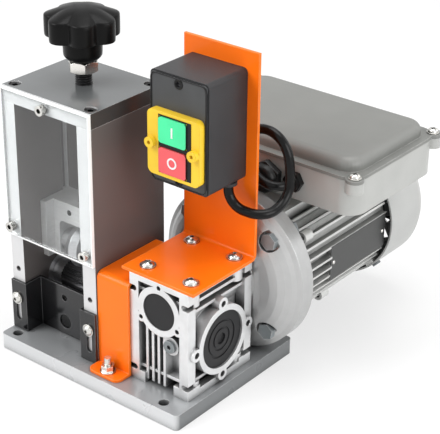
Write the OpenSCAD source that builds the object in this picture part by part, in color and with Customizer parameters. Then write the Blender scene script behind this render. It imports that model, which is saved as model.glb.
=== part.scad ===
// Electric wire stripper: a bench machine that slits the jacket off scrap cable.
// A worm gearmotor turns a toothed feed roller, which pulls the cable through the
// guide plate and under a round blade. The star knob sets the height of the blade.
// The origin lies under the middle of the base plate, +X right, +Y back, +Z up.

/* [Base plate] */
// Width of the base plate
base_w = 196; // [188:1:216]
// Depth of the base plate
base_d = 152; // [146:1:170]
// Thickness of the base plate
base_t = 14; // [12:0.5:20]
// Corner radius of the base plate
base_corner_r = 4; // [1:0.5:8]
// Diameter of the four fixing holes
foot_hole_d = 9; // [6:0.5:11]
// Fixing holes from the left edge
foot_hole_left = 11.5; // [9:0.5:16]
// Fixing holes from the right edge
foot_hole_right = 21; // [12:0.5:26]
// Fixing holes from the front and back edges
foot_hole_edge = 9; // [8:0.5:12]

/* [Tower] */
// Width over the two side walls
tower_w = 96; // [90:1:104]
// Depth of the side walls
tower_d = 84; // [76:1:92]
// Front of the tower behind the base plate's front edge
tower_setback = 18; // [16:1:22]
// Thickness of a side wall
wall_t = 14; // [12:0.5:16]
// Height of the side walls
wall_h = 209; // [190:1:240]
// Thickness of the top plate
top_t = 13; // [10:0.5:18]
// Width of the groove that guides the carriage
groove_w = 7; // [5:0.5:10]
// Depth of the guide groove
groove_depth = 4; // [3:0.5:6]
// Guide groove behind the blade axis
groove_offset = 10; // [8:0.5:10]
// Shank diameter of the frame screws
frame_screw_d = 6; // [5:0.5:8]

/* [Front shield] */
// Height of the clear shield
shield_h = 131; // [110:1:150]
// Thickness of the clear shield
shield_t = 3; // [2:0.5:5]
// Shank diameter of the shield screws
shield_screw_d = 5; // [4:0.5:6]
// Lower shield screws above the shield's lower edge
shield_screw_rise = 9.5; // [8:0.5:14]

/* [Guide plate] */
// Thickness of the folded guide plate
guide_t = 2.5; // [2:0.5:3]
// Height of the guide plate
guide_h = 46; // [40:1:50]
// Depth from the wall fronts to the back of the plate's web
guide_fold = 18; // [14:0.5:20]
// Width of the adjusting slots
guide_slot_w = 6; // [5.5:0.5:7]
// Straight travel of the adjusting slots
guide_travel = 18.5; // [12:0.5:20]
// Slot's upper end below the top of the plate
guide_slot_drop = 16; // [12:0.5:18]
// Diameter of the small wire hole
wire_hole_small = 6; // [4:0.5:9]
// Diameter of the large wire hole
wire_hole_large = 13; // [9:0.5:16]
// Height of the small wire hole in the plate
wire_hole_small_z = 35; // [28:0.5:38]
// Height of the large wire hole in the plate
wire_hole_large_z = 12; // [10:0.5:16]

/* [Blade carriage] */
// Radius of the round blade
blade_r = 20; // [16:0.5:22]
// Width of the blade at its hub
blade_w = 13; // [9:0.5:18]
// Height of the bevel on each side of the blade's edge
blade_bevel = 3; // [1.5:0.5:5]
// Diameter of the blade axle
axle_d = 12; // [10:0.5:14]
// Gap between the blade and the feed roller
nip_gap = 2; // [1.8:0.1:4]
// Depth of the carriage yoke in front of the blade axis
yoke_front = 11; // [10.5:0.5:13]
// Depth of the carriage yoke behind the blade axis
yoke_back = 14; // [13.5:0.5:16]
// Height of the yoke's bridge over the blade
yoke_bridge = 18; // [16:0.5:22]
// Width of the yoke's opening
yoke_open = 44; // [40:1:46]
// Length of the yoke's legs below the blade axis
yoke_leg = 11.5; // [9:0.5:14]
// Forward reach of the yoke's side cheeks
cheek_reach = 9.5; // [6:0.5:10]
// Thickness of the side cheeks
cheek_t = 6; // [4:0.5:8]

/* [Adjusting screw and knob] */
// Major diameter of the adjusting screw
screw_d = 14; // [12:0.5:16]
// Screw left bare between the top plate and the lock nut
screw_show = 11; // [10:0.5:20]
// Diameter of the screw's captive head
screw_head_d = 18; // [17:0.5:20]
// Height of the screw's captive head
screw_head_h = 5.4; // [4:0.2:7]
// Diameter of the screw's neck
screw_neck_d = 11; // [9:0.5:11.5]
// Height of the lock nut
nut_h = 9; // [8:0.5:12]
// Width of the lock nut across flats
nut_af = 22; // [21:0.5:25]
// Diameter of the star knob over its lobes
knob_d = 61; // [54:1:70]
// Number of lobes on the star knob
knob_lobes = 7; // [5:1:9]
// Height of the knob's lobes
knob_lobe_h = 17; // [12:0.5:20]
// Rise of the knob's domed top
knob_dome = 5; // [4:0.5:10]
// Diameter of the knob's hub
knob_hub_d = 31.5; // [28:0.5:34]
// Height of the knob's hub below its lobes
knob_hub_h = 22; // [14:0.5:26]

/* [Feed] */
// Tip radius of the toothed feed roller
roller_r = 13; // [11:0.5:15]
// Width of the feed roller
roller_w = 38; // [28:1:38]
// Number of teeth round the feed roller
roller_teeth = 28; // [20:1:36]
// Depth of the feed roller's teeth
tooth_depth = 1.2; // [0.6:0.1:1.8]
// Middle of the roller and blade to the left of the tower's middle
feed_offset = 4; // [0:0.5:4]
// Diameter of the drive shaft
shaft_d = 14; // [12:0.5:15]
// Outside diameter of the shaft bearings in the walls
wall_bearing_d = 32; // [28:0.5:34]
// Width of the shaft bearings in the walls
wall_bearing_w = 9; // [7:0.5:10]
// Outside radius of the spacer sleeves beside the roller
sleeve_r = 11; // [9:0.5:12]

/* [Worm gearbox] */
// Width of the gearbox over its feet
gear_w = 60; // [58:1:62]
// Length of the gearbox along the worm
gear_len = 80; // [76:1:84]
// Height of the gearbox
gear_h = 97; // [96:0.5:102]
// Middle of the gearbox from the right edge of the base
gear_edge = 36.5; // [36:0.5:40]
// Front of the gearbox behind the base plate's front edge
gear_setback = 21.5; // [20:0.5:24]
// Output axis above the base plate
out_h = 40.5; // [39.5:0.5:41.5]
// Distance between the worm and wheel axes
centre_dist = 30.5; // [30:0.5:31.5]
// Output faces from the gearbox's middle
out_face = 33; // [32:0.5:34]
// Radius of the output barrel
barrel_r = 30; // [29:0.5:31]
// Radius of the worm barrel
worm_barrel_r = 21.5; // [19:0.5:22]
// Teeth on the worm wheel
wheel_teeth = 30; // [20:1:40]
// Tip radius of the worm
worm_r = 10; // [9:0.5:10.5]
// Hole circle diameter of the output faces
out_pcd = 65; // [62:0.5:66]
// Hole diameter in the output faces
out_hole_d = 5.5; // [4:0.5:6]

/* [Motor] */
// Radius of the flange pair
flange_r = 70.6; // [66:0.2:70.8]
// Depth of the adapter's dome
dome_depth = 14.5; // [12:0.5:18]
// Thickness of the adapter's rim
adapter_rim = 7; // [6:0.5:9]
// Thickness of the motor flange's rim
flange_rim = 9; // [8:0.5:12]
// Hole circle diameter of the flange
flange_pcd = 117; // [114:0.5:120]
// Shank diameter of the flange bolts
flange_bolt_d = 8; // [6:0.5:9]
// Length of the finned motor housing
motor_len = 132; // [124:1:140]
// Inner radius of the motor housing
motor_bore_r = 47; // [46:0.5:48]
// Wall of the motor housing between its fins
motor_wall = 4; // [3:0.5:5]
// Radius over the fins
fin_r = 58; // [56:0.5:60]
// Number of fin positions round the housing
fin_count = 40; // [32:2:48]
// Thickness of a fin at its tip
fin_t = 1.8; // [1.4:0.2:2.6]
// Outside radius of the fan cowl
cowl_r = 62; // [60.5:0.5:66]
// Length of the fan cowl
cowl_len = 54; // [48:1:60]
// Wall of the fan cowl
cowl_t = 1.6; // [1.2:0.2:2.4]
// Diameter of the motor shaft
motor_shaft_d = 11; // [9:0.5:12]

/* [Terminal box] */
// Width of the terminal box
box_w = 187; // [170:1:196]
// Depth of the terminal box
box_d = 122; // [112:1:126]
// Height of the terminal box below its lid
box_h = 31; // [28:0.5:36]
// Wall of the terminal box
box_wall = 3; // [2:0.5:4]
// Corner radius of the terminal box
box_corner_r = 16; // [12:0.5:20]
// Height of the lid
lid_h = 14; // [10:0.5:18]
// Top of the motor's terminal pad above the shaft axis
pad_rise = 62.5; // [62.5:0.5:66]

/* [Guard and bracket] */
// Thickness of the sheet metal
sheet_t = 2.4; // [1.6:0.2:3]
// Height of the coupling guard
guard_h = 86; // [80:1:90]
// Front of the guard before the gearbox's front
guard_lead = 2.5; // [1.5:0.5:4]
// Depth of the guard along the top
guard_d = 76; // [66:1:78]
// Reach of the guard's front foot
guard_foot = 15; // [13:0.5:16]
// Width of the switch bracket
bracket_w = 73; // [70:1:76]
// Height of the switch bracket above the gearbox
bracket_rise = 175; // [164:1:190]
// Spacing of the bracket screws across the gearbox
deck_hole_x = 44; // [42:1:46]
// Spacing of the bracket screws along the gearbox
deck_hole_y = 54; // [50:1:56]

/* [Switch] */
// Width of the switch box
switch_w = 57; // [54:1:60]
// Height of the switch box
switch_h = 91.5; // [86:0.5:98]
// Depth of the switch box with its cover
switch_d = 47; // [44:0.5:52]
// Thickness of the switch cover
cover_t = 3; // [2:0.5:4]
// Wall of the switch box
switch_wall = 2.5; // [2:0.5:3.5]
// Switch box to the left of the bracket's middle
switch_left = 2.5; // [0:0.5:4]
// Top of the switch box below the bracket's top edge
switch_drop = 14; // [8:1:20]
// Width of the button frame
frame_w = 51; // [48:0.5:52]
// Height of the button frame
frame_h = 53.5; // [52:0.5:56]
// Button frame standing proud of the cover
frame_t = 6.5; // [5:0.5:8]
// Width of a button
button_w = 27; // [24:0.5:29]
// Height of a button
button_h = 21; // [18:0.5:21.5]
// Spacing of the two buttons
button_pitch = 25; // [24:0.5:26]
// Travel of a button
button_travel = 3; // [2:0.5:3.5]
// Button standing proud of its frame
button_proud = 1.5; // [0.5:0.5:3]

/* [Fits] */
// Radial running clearance of shafts and screws
run_fit = 0.06; // [0.03:0.01:0.09]
// Clearance between pieces that move past each other
slide_gap = 0.3; // [0.2:0.05:0.4]

/* [Hidden] */
$fn = 64;
eps = 0.5;

// Tower
tower_x0 = -base_w / 2;
tower_x1 = tower_x0 + tower_w;
tower_cx = (tower_x0 + tower_x1) / 2;
tower_y0 = -base_d / 2 + tower_setback;
tower_y1 = tower_y0 + tower_d;
inner_x0 = tower_x0 + wall_t;
inner_x1 = tower_x1 - wall_t;
wall_top = base_t + wall_h;
tower_top = wall_top + top_t;
left_wall_cx = tower_x0 + wall_t / 2;
right_wall_cx = tower_x1 - wall_t / 2;
frame_head_d = frame_screw_d * 5 / 3;
frame_sink = frame_screw_d + 1;
frame_grip = 16;
frame_edge = 7.5;
wall_screw_y = [tower_y0 + 14, tower_y1 - 14];

// Gearbox and the shared drive axes
gear_cx = base_w / 2 - gear_edge;
gear_y0 = -base_d / 2 + gear_setback;
gear_y1 = gear_y0 + gear_len;
gear_cy = (gear_y0 + gear_y1) / 2;
gear_top = base_t + gear_h;
out_z = base_t + out_h;
worm_z = out_z + centre_dist;
wheel_r = centre_dist - worm_r - 0.5;
hub_r = 12;
wheel_w = 14;
out_bearing_r = 20;
out_seal_r = 25;
seal_t = 4;
seal_sink = 2;
seal_step = 0.8;
seal_groove_r = 17;
cap_dimple_r = 5;
hub_end = out_face - seal_sink - seal_t - 0.5;
worm_journal_r = 7.5;
worm_input_r = 10;
worm_bearing_r = 17;
worm_bearing_w = 9;
worm_cavity = gear_len / 2 - 16;
cap_r = 16;
cap_t = 5;
plug_x = 11.4;
plug_z = 44;
plug_r = 6;
gear_post = 9;
gear_lug_r = 5.5;
front_lug_pcd = 43;
front_lug_r = 4.4;
notch_h = 5;
lug_hole = 7.5;
front_recess = 12;
foot_pad = 15;

// Feed and blade
feed_x = tower_cx - feed_offset;
axis_y = gear_cy;
shaft_r = shaft_d / 2;
roller_x0 = feed_x - roller_w / 2;
roller_x1 = feed_x + roller_w / 2;
blade_z = out_z + roller_r + nip_gap + blade_r;
yoke_x0 = inner_x0 + slide_gap;
yoke_x1 = inner_x1 - slide_gap;
yoke_y0 = axis_y - yoke_front;
yoke_y1 = axis_y + yoke_back;
yoke_open_top = blade_z + blade_r + nip_gap;
yoke_top = yoke_open_top + yoke_bridge;
yoke_bottom = blade_z - yoke_leg;
yoke_open_x0 = tower_cx - yoke_open / 2;
yoke_open_x1 = tower_cx + yoke_open / 2;
groove_y = axis_y + groove_offset;
axle_r = axle_d / 2;
set_screw_d = 5;
set_screw_len = 4;
set_screw_x = 10;
screw_head_z = yoke_open_top + (yoke_bridge - screw_head_h) / 2 - 1;
nut_z = tower_top + screw_show;
knob_z = nut_z + nut_h + slide_gap;
knob_lobe_z = knob_z + knob_hub_h;
knob_grip = 14;
knob_turn = -46;
knob_foot = 4;
nut_turn = 20;

// Shield and guide plate
shield_top = tower_top - 1;
shield_z0 = shield_top - shield_h;
shield_low_z = shield_z0 + shield_screw_rise;
guide_z0 = base_t + slide_gap;
guide_web_y = tower_y0 + guide_fold;
guide_screw_d = 5;
guide_screw_z = guide_z0 + guide_h - guide_slot_drop;
guide_face_gap = 0.1;
washer_t = 1.2;
spare_hole_z = guide_z0 + guide_h + 11;

// Motor
rim_y0 = gear_y1 + dome_depth;
rim_y1 = rim_y0 + adapter_rim;
flange_y1 = rim_y1 + flange_rim;
motor_y1 = flange_y1 + motor_len;
cowl_lap = 4;
cowl_y0 = motor_y1 - cowl_lap;
cowl_y1 = cowl_y0 + cowl_len;
motor_wall_r = motor_bore_r + motor_wall;
spigot_r = 47.5;
spigot_t = 3;
adapter_neck_r = 31;
motor_shaft_r = motor_shaft_d / 2;
motor_bearing_r = 16;
motor_bearing_w = 11;
boss_r = motor_bearing_r + 4;
rear_t = 5;
rotor_r = 28;
rotor_gap = 0.5;
core_len = 66;
core_y0 = flange_y1 + (motor_len - core_len) / 2;
shaft_y0 = gear_cy + 12;
shaft_y1 = cowl_y1 - 16;
fan_r = 50;
fan_w = 22;
fan_y0 = motor_y1 + 10;
pad_clear = 26;
plate_w = 82;
plate_h = 31;
plate_gap = 1;
plate_t = 0.8;
plate_drop = 2.5;
plate_cy = flange_y1 + 85;
plate_pad_x = 55;
lug_r = 5;
bearing_stop = 1;
rear_seat_y = motor_y1 - bearing_stop - motor_bearing_w;
cowl_lug_w = 9;
cowl_lug_y1 = motor_y1 + 8;
cowl_seat_r = cowl_r - cowl_t - 0.25;
cowl_screw_d = 4;
cowl_screw_len = 4;
bolt_seat_y = rim_y0 - 5;
bolt_tail = 8;
nut_pocket = bolt_tail + 3;
dome_sweep = 70;

// Terminal box on the motor's pad
pad_top = worm_z + pad_rise;
pad_w = 62;
pad_d = 70;
box_cy = flange_y1 + motor_len / 2 + 11;
box_z1 = pad_top + box_h;
ear_r = 7.5;
lid_screw_d = 4;
ear_inset = 5;
lid_fillet = 7.5;
lid_rim = 3;
lid_facets = 32;
lid_inset = 6;
lid_half_x = box_w / 2 - lid_inset - box_corner_r;
lid_half_y = box_d / 2 - lid_inset - box_corner_r;
gland_x = gear_cx + 36;
gland_z = pad_top + 16.5;
gland_reach = 7;
gland_r = 9;
capacitor_r = 13.5;
capacitor_len = box_d * 0.6;
block_size = [30, box_d * 0.45, 14];
block_poles = 5;

// Guard and bracket
guard_x0 = tower_x1 + 0.5;
guard_x1 = gear_cx - gear_w / 2;
guard_y0 = gear_y0 - guard_lead;
guard_y1 = guard_y0 + guard_d;
guard_foot_r = 6;
guard_bolt_x = (guard_x0 + guard_x1) / 2;
bend_r = 3;
guard_bolt_ys = [guard_y0 - guard_foot / 2, guard_y1 + guard_foot / 2];
guard_bolt_d = 6;
bracket_x0 = gear_cx + 35 - bracket_w;
bracket_top = gear_top + bracket_rise;
bracket_y1 = gear_y1 - 1.4;
bracket_y0 = bracket_y1 - sheet_t;

// Switch
switch_cx = bracket_x0 + bracket_w / 2 - switch_left;
switch_y1 = bracket_y0;
switch_y0 = switch_y1 - switch_d;
switch_z1 = bracket_top - switch_drop;
switch_z0 = switch_z1 - switch_h;
switch_cz = (switch_z0 + switch_z1) / 2;
switch_r = 4;
cover_lip = 1.2;
frame_cz = switch_z0 + 36;
start_z = frame_cz + button_pitch / 2;
stop_z = frame_cz - button_pitch / 2;
button_y0 = switch_y0 - frame_t - button_proud;
button_cx = switch_cx;
cover_screw_z = 6;
cover_screw_r = 2.6;
cover_boss_r = 4.5;
grommet_h = 2;
lug_d = 9;
stem_r = 4;

// Lead from the switch box to the terminal box, by its own points
lead_d = 8;
lead_sides = 10;
lead_exit = [79, 9];
lead_points = [[79, 9, 178.5], [79, 9, 174.5], [80.3, 9.2, 168.3], [84.1, 9.5, 163.2], [89.8, 10, 160],
    [96.2, 11, 158.8], [102.4, 12.8, 158.3], [107.6, 16.6, 158.2], [110.8, 22, 158.6],
    [112, 28.3, 159.8], [112.4, 34.3, 162.2], [112.5, 39.3, 166.2], [112.5, 42.7, 171.6],
    [112.3, 44, 178.2], [111.9, 44.2, 186.5], [110.8, 44.2, 195], [108.2, 44.2, 203],
    [103.2, 44.2, 209.6], [96, 44.2, 213.8], [88, 44.2, 215], [80, 44.4, 213.2], [73, 44.8, 208.6],
    [68.2, 45.3, 202], [66, 45.9, 194.3], [66.4, 46.4, 186.4], [69.2, 46.7, 179.4],
    [74.1, 46.8, 173.8], [79.4, 46.9, 170.2], [84.8, 47.3, 167.6], [90, 49.2, 165.7],
    [94, 52.6, 164.7], [96.6, 57, 164.2], [97.5, 61.6, 164], [97.5, 65, 164]];

// Plain shapes
module block(x0, x1, y0, y1, z0, z1) translate([x0, y0, z0]) cube([x1 - x0, y1 - y0, z1 - z0]);
module bar_x(x0, length, r) translate([x0, 0, 0]) rotate([0, 90, 0]) cylinder(h = length, r = r);
module bar_y(y0, length, r) translate([0, y0, 0]) rotate([-90, 0, 0]) cylinder(h = length, r = r);
module extrude_x(x0, length) translate([x0, 0, 0]) rotate([90, 0, 90]) linear_extrude(length) children();
module extrude_y(y0, length) translate([0, y0 + length, 0]) rotate([90, 0, 0]) linear_extrude(length)
    children();
module turn_x() rotate([0, 90, 0]) rotate_extrude() children();
module turn_y() rotate([-90, 0, 0]) rotate_extrude() children();

module ring_x(x0, length, r, bore) difference() {
    bar_x(x0, length, r);
    bar_x(x0 - eps, length + 2 * eps, bore);
}

module ring_y(y0, length, r, bore) difference() {
    bar_y(y0, length, r);
    bar_y(y0 - eps, length + 2 * eps, bore);
}

module round_rect(w, d, r) {
    square([w - 2 * r, d], center = true);
    square([w, d - 2 * r], center = true);
    for (sx = [-1, 1], sy = [-1, 1])
        translate([sx * (w / 2 - r), sy * (d / 2 - r)]) circle(r);
}

// Puts its children on the drive axis or on the worm axis
module on_drive_axis() translate([0, axis_y, out_z]) children();
module on_worm_axis() translate([gear_cx, 0, worm_z]) children();
module on_gearbox() translate([gear_cx, gear_cy, base_t]) children();

// Screws point down with the underside of the head at z = 0
module cap_screw(d, length) difference() {
    union() {
        translate([0, 0, -length]) cylinder(h = length + eps, d = d);
        cylinder(h = d, d = d * 5 / 3);
    }
    translate([0, 0, d * 0.45]) cylinder(h = d, d = d * 0.9, $fn = 6);
}

module button_screw(d, length) difference() {
    union() {
        translate([0, 0, -length]) cylinder(h = length + eps, d = d);
        intersection() {
            translate([0, 0, -d * 0.55]) sphere(d * 1.1);
            cylinder(h = d, d = d * 1.75);
        }
    }
    translate([0, 0, d * 0.25]) cylinder(h = d, d = d * 0.65, $fn = 6);
}

module hex_bolt(d, length) {
    translate([0, 0, -length]) cylinder(h = length + eps, d = d);
    cylinder(h = d * 0.65, d = d * 1.85, $fn = 6);
}

module washer(d) difference() {
    cylinder(h = washer_t, d = d * 2.2);
    translate([0, 0, -eps]) cylinder(h = washer_t + 2 * eps, d = d + 2 * run_fit);
}

module at_corners(dx, dy) for (sx = [-1, 1], sy = [-1, 1]) translate([sx * dx, sy * dy, 0]) children();

// Base and tower
module foot_holes() for (x = [-base_w / 2 + foot_hole_left, base_w / 2 - foot_hole_right], s = [-1, 1])
    translate([x, s * (base_d / 2 - foot_hole_edge), -eps]) cylinder(h = base_t + 2 * eps, d = foot_hole_d);

module at_wall_screws() for (x = [left_wall_cx, right_wall_cx], y = wall_screw_y) translate([x, y, 0])
    children();

module at_gear_screws() on_gearbox() at_corners(deck_hole_x / 2, deck_hole_y / 2) children();

module sunk_hole(depth) {
    translate([0, 0, -eps]) cylinder(h = depth + 2 * eps, d = frame_screw_d);
    translate([0, 0, -eps]) cylinder(h = frame_sink + eps, d = frame_head_d + 2 * slide_gap);
}

module base_plate() color([0.62, 0.64, 0.65]) difference() {
    linear_extrude(base_t) round_rect(base_w, base_d, base_corner_r);
    foot_holes();
    at_wall_screws() sunk_hole(base_t);
    at_gear_screws() translate([0, 0, -base_t]) sunk_hole(base_t);
    at_guard_bolts() {
        translate([0, 0, -eps]) cylinder(h = base_t + 2 * eps, d = guard_bolt_d);
        translate([0, 0, -eps]) cylinder(h = guard_bolt_d + eps, d = guard_bolt_d * 1.85 + 2 * slide_gap);
    }
}

// One side wall, with its inner face on the given side
module side_wall(x0, inner_x, inward) difference() {
    block(x0, x0 + wall_t, tower_y0, tower_y1, base_t, wall_top);
    translate([inner_x - (inward > 0 ? groove_depth : 0), groove_y - groove_w / 2, base_t - eps])
        cube([groove_depth, groove_w, wall_h + 2 * eps]);
    on_drive_axis() bar_x(inner_x - (inward > 0 ? wall_bearing_w : eps), wall_bearing_w + eps,
        wall_bearing_d / 2);
    for (y = wall_screw_y)
        translate([x0 + wall_t / 2, y, base_t - eps]) cylinder(h = frame_grip + eps, d = frame_screw_d);
    for (y = [tower_y0 + frame_edge, tower_y1 - frame_edge])
        translate([x0 + wall_t / 2, y, wall_top - frame_grip]) cylinder(h = frame_grip + eps,
            d = frame_screw_d);
    translate([x0 + wall_t / 2, 0, shield_low_z]) bar_y(tower_y0 - eps, 12, shield_screw_d / 2);
    translate([x0 + wall_t / 2, 0, spare_hole_z]) bar_y(tower_y0 - eps, 12, shield_screw_d / 2);
    translate([x0 + wall_t / 2, 0, guide_screw_z]) bar_y(tower_y0 - eps, 12, guide_screw_d / 2);
}

module left_wall() color([0.6, 0.61, 0.62]) side_wall(tower_x0, inner_x0, 1);

module right_wall() color([0.6, 0.61, 0.62]) difference() {
    side_wall(tower_x1 - wall_t, inner_x1, -1);
    on_drive_axis() bar_x(tower_x1 - wall_t, wall_t + eps, shaft_r + 3);
}

module at_top_screws() for (x = [left_wall_cx, right_wall_cx], y = [tower_y0 + frame_edge,
    tower_y1 - frame_edge])
    translate([x, y, 0]) children();

module top_plate() color([0.58, 0.6, 0.6]) difference() {
    block(tower_x0, tower_x1, tower_y0, tower_y1, wall_top, tower_top);
    translate([tower_cx, axis_y, wall_top - eps]) cylinder(h = top_t + 2 * eps, d = screw_d + 2 * run_fit);
    at_top_screws() translate([0, 0, tower_top]) mirror([0, 0, 1]) sunk_hole(top_t);
    translate([tower_cx, 0, shield_top - 7]) bar_y(tower_y0 - eps, 12, shield_screw_d / 2);
}

module frame_screws() color([0.3, 0.3, 0.31]) {
    at_top_screws() translate([0, 0, tower_top - frame_sink]) cap_screw(frame_screw_d,
        top_t - frame_sink + frame_grip - 2);
    at_wall_screws() translate([0, 0, frame_sink]) mirror([0, 0, 1]) cap_screw(frame_screw_d,
        base_t - frame_sink + frame_grip - 2);
    at_gear_screws() translate([0, 0, frame_sink - base_t]) mirror([0, 0, 1])
        cap_screw(frame_screw_d, base_t - frame_sink + 9);
}

// Shield
module at_shield_screws() {
    translate([tower_cx, tower_y0, shield_top - 7]) rotate([90, 0, 0]) children();
    for (x = [left_wall_cx, right_wall_cx]) translate([x, tower_y0, shield_low_z]) rotate([90, 0, 0])
        children();
}

module front_shield() color([0.85, 0.9, 0.92, 0.4]) difference() {
    block(tower_x0, tower_x1, tower_y0 - shield_t, tower_y0, shield_z0, shield_top);
    at_shield_screws() translate([0, 0, -eps]) cylinder(h = shield_t + 2 * eps,
        d = shield_screw_d + 2 * run_fit);
}

module shield_screws() color([0.82, 0.82, 0.8])
    at_shield_screws() translate([0, 0, shield_t]) cap_screw(shield_screw_d, shield_t + 9);

// Guide plate: two ears on the wall fronts, folded back to a web that crosses the feed throat
module guide_profile() {
    leg_x0 = inner_x0 + slide_gap;
    leg_x1 = inner_x1 - slide_gap;
    for (x = [leg_x0, leg_x1 - guide_t])
        translate([x, tower_y0 - guide_t]) square([guide_t, guide_fold + guide_t]);
    translate([leg_x0, guide_web_y - guide_t]) square([leg_x1 - leg_x0, guide_t]);
    translate([tower_x0, tower_y0 - guide_t - guide_face_gap]) square([leg_x0 + guide_t - tower_x0, guide_t]);
    translate([leg_x1 - guide_t, tower_y0 - guide_t - guide_face_gap]) square([tower_x1 - leg_x1 + guide_t,
        guide_t]);
}

module guide_slot(x) for (z = [guide_screw_z, guide_screw_z - guide_travel])
    translate([x, 0, z]) bar_y(tower_y0 - 2 * guide_t, 3 * guide_t, guide_slot_w / 2);

module guide_plate() color([0.08, 0.08, 0.09]) difference() {
    translate([0, 0, guide_z0]) linear_extrude(guide_h) guide_profile();
    for (x = [left_wall_cx, right_wall_cx]) {
        guide_slot(x);
        block(x - guide_slot_w / 2, x + guide_slot_w / 2, tower_y0 - 2 * guide_t, tower_y0 + eps,
            guide_screw_z - guide_travel, guide_screw_z);
    }
    translate([feed_x, 0, guide_z0 + wire_hole_small_z]) bar_y(guide_web_y - 2 * guide_t, 3 * guide_t,
        wire_hole_small / 2);
    translate([feed_x, 0, guide_z0 + wire_hole_large_z]) bar_y(guide_web_y - 2 * guide_t, 3 * guide_t,
        wire_hole_large / 2);
}

module guide_screws() color([0.85, 0.85, 0.84]) for (x = [left_wall_cx, right_wall_cx])
    translate([x, tower_y0 - guide_t - slide_gap, guide_screw_z]) rotate([90, 0, 0]) {
        washer(guide_screw_d);
        translate([0, 0, washer_t]) button_screw(guide_screw_d, washer_t + slide_gap + guide_t + 9);
    }

// Blade carriage
module yoke_keys() for (x = [inner_x0 - groove_depth + slide_gap, inner_x1 - eps])
    block(x, x + groove_depth - slide_gap + eps, groove_y - groove_w / 2 + slide_gap,
        groove_y + groove_w / 2 - slide_gap,
        yoke_bottom, yoke_top);

module captive_slot() {
    pocket_r = screw_head_d / 2 + slide_gap;
    neck_r = screw_neck_d / 2 + slide_gap;
    translate([tower_cx, axis_y, 0]) {
        translate([0, 0, screw_head_z - slide_gap]) cylinder(h = screw_head_h + 2 * slide_gap, r = pocket_r);
        block(-pocket_r, pocket_r, 0, yoke_back + eps, screw_head_z - slide_gap,
            screw_head_z + screw_head_h + slide_gap);
        translate([0, 0, screw_head_z]) cylinder(h = yoke_bridge, r = neck_r);
        block(-neck_r, neck_r, 0, yoke_back + eps, screw_head_z, yoke_top + eps);
    }
}

module at_set_screws() for (s = [-1, 1])
    translate([tower_cx + s * set_screw_x, yoke_y0, yoke_top - 8]) children();

module carriage_yoke() color([0.72, 0.73, 0.74]) difference() {
    union() {
        block(yoke_x0, yoke_x1, yoke_y0, yoke_y1, yoke_bottom, yoke_top);
        for (x = [yoke_x0, yoke_x1 - cheek_t])
            block(x, x + cheek_t, yoke_y0 - cheek_reach, yoke_y0 + eps, yoke_bottom, yoke_top);
        yoke_keys();
    }
    extrude_y(yoke_y0 - eps, yoke_front + yoke_back + 2 * eps)
        translate([tower_cx, yoke_open_top - blade_r - yoke_leg])
        round_rect(yoke_open, 2 * (blade_r + yoke_leg), 5);
    translate([0, axis_y, blade_z]) bar_x(yoke_x0 - eps, yoke_x1 - yoke_x0 + 2 * eps, axle_r);
    captive_slot();
    at_set_screws() bar_y(-eps, set_screw_len + eps, set_screw_d / 2);
}

module yoke_set_screws() color([0.35, 0.35, 0.36]) at_set_screws() difference() {
    bar_y(0, set_screw_len, set_screw_d / 2);
    block(-set_screw_d, set_screw_d, -eps, 1.2, -0.5, 0.5);
}

module blade_axle() color([0.75, 0.75, 0.76])
    translate([0, axis_y, blade_z]) bar_x(yoke_x0 + 2, yoke_x1 - yoke_x0 - 4, axle_r);

module blade_spacers() color([0.66, 0.66, 0.67]) translate([0, axis_y, blade_z]) {
    ring_x(yoke_open_x0, feed_x - blade_w / 2 - slide_gap - yoke_open_x0, axle_r + 4, axle_r);
    ring_x(feed_x + blade_w / 2 + slide_gap, yoke_open_x1 - feed_x - blade_w / 2 - slide_gap, axle_r + 4,
        axle_r);
}

module round_blade() color([0.8, 0.81, 0.82]) translate([feed_x, axis_y, blade_z]) turn_x()
    polygon([[axle_r + run_fit, -blade_w / 2], [blade_r - blade_bevel, -blade_w / 2], [blade_r, -0.2],
        [blade_r, 0.2],
        [blade_r - blade_bevel, blade_w / 2], [axle_r + run_fit, blade_w / 2]]);

// Adjusting screw, lock nut and knob
module adjusting_screw() color([0.1, 0.1, 0.11]) translate([tower_cx, axis_y, 0]) {
    translate([0, 0, screw_head_z]) cylinder(h = screw_head_h, d = screw_head_d);
    translate([0, 0, screw_head_z]) cylinder(h = yoke_top + 1 - screw_head_z, d = screw_neck_d);
    translate([0, 0, yoke_top + slide_gap]) cylinder(h = knob_z + knob_grip - yoke_top - slide_gap,
        d = screw_d);
}

module lock_nut() color([0.82, 0.81, 0.79]) translate([tower_cx, axis_y, nut_z]) difference() {
    rotate([0, 0, nut_turn]) intersection() {
        cylinder(h = nut_h, d = nut_af / cos(30), $fn = 6);
        rotate_extrude() polygon([[0, 0], [nut_af * 0.5, 0], [nut_af * 0.6, nut_h * 0.15], [nut_af * 0.6,
            nut_h * 0.85],
            [nut_af * 0.5, nut_h], [0, nut_h]]);
    }
    translate([0, 0, -eps]) cylinder(h = nut_h + 2 * eps, d = screw_d + 2 * run_fit);
}

module knob_star() {
    lobe_r = knob_d / 8;
    circle(knob_d / 2 - lobe_r * 1.15);
    for (i = [0:knob_lobes - 1]) rotate(i * 360 / knob_lobes + knob_turn) {
        translate([knob_d / 2 - lobe_r, 0]) circle(lobe_r);
        translate([0, -lobe_r]) square([knob_d / 2 - lobe_r, 2 * lobe_r]);
    }
}

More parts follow.
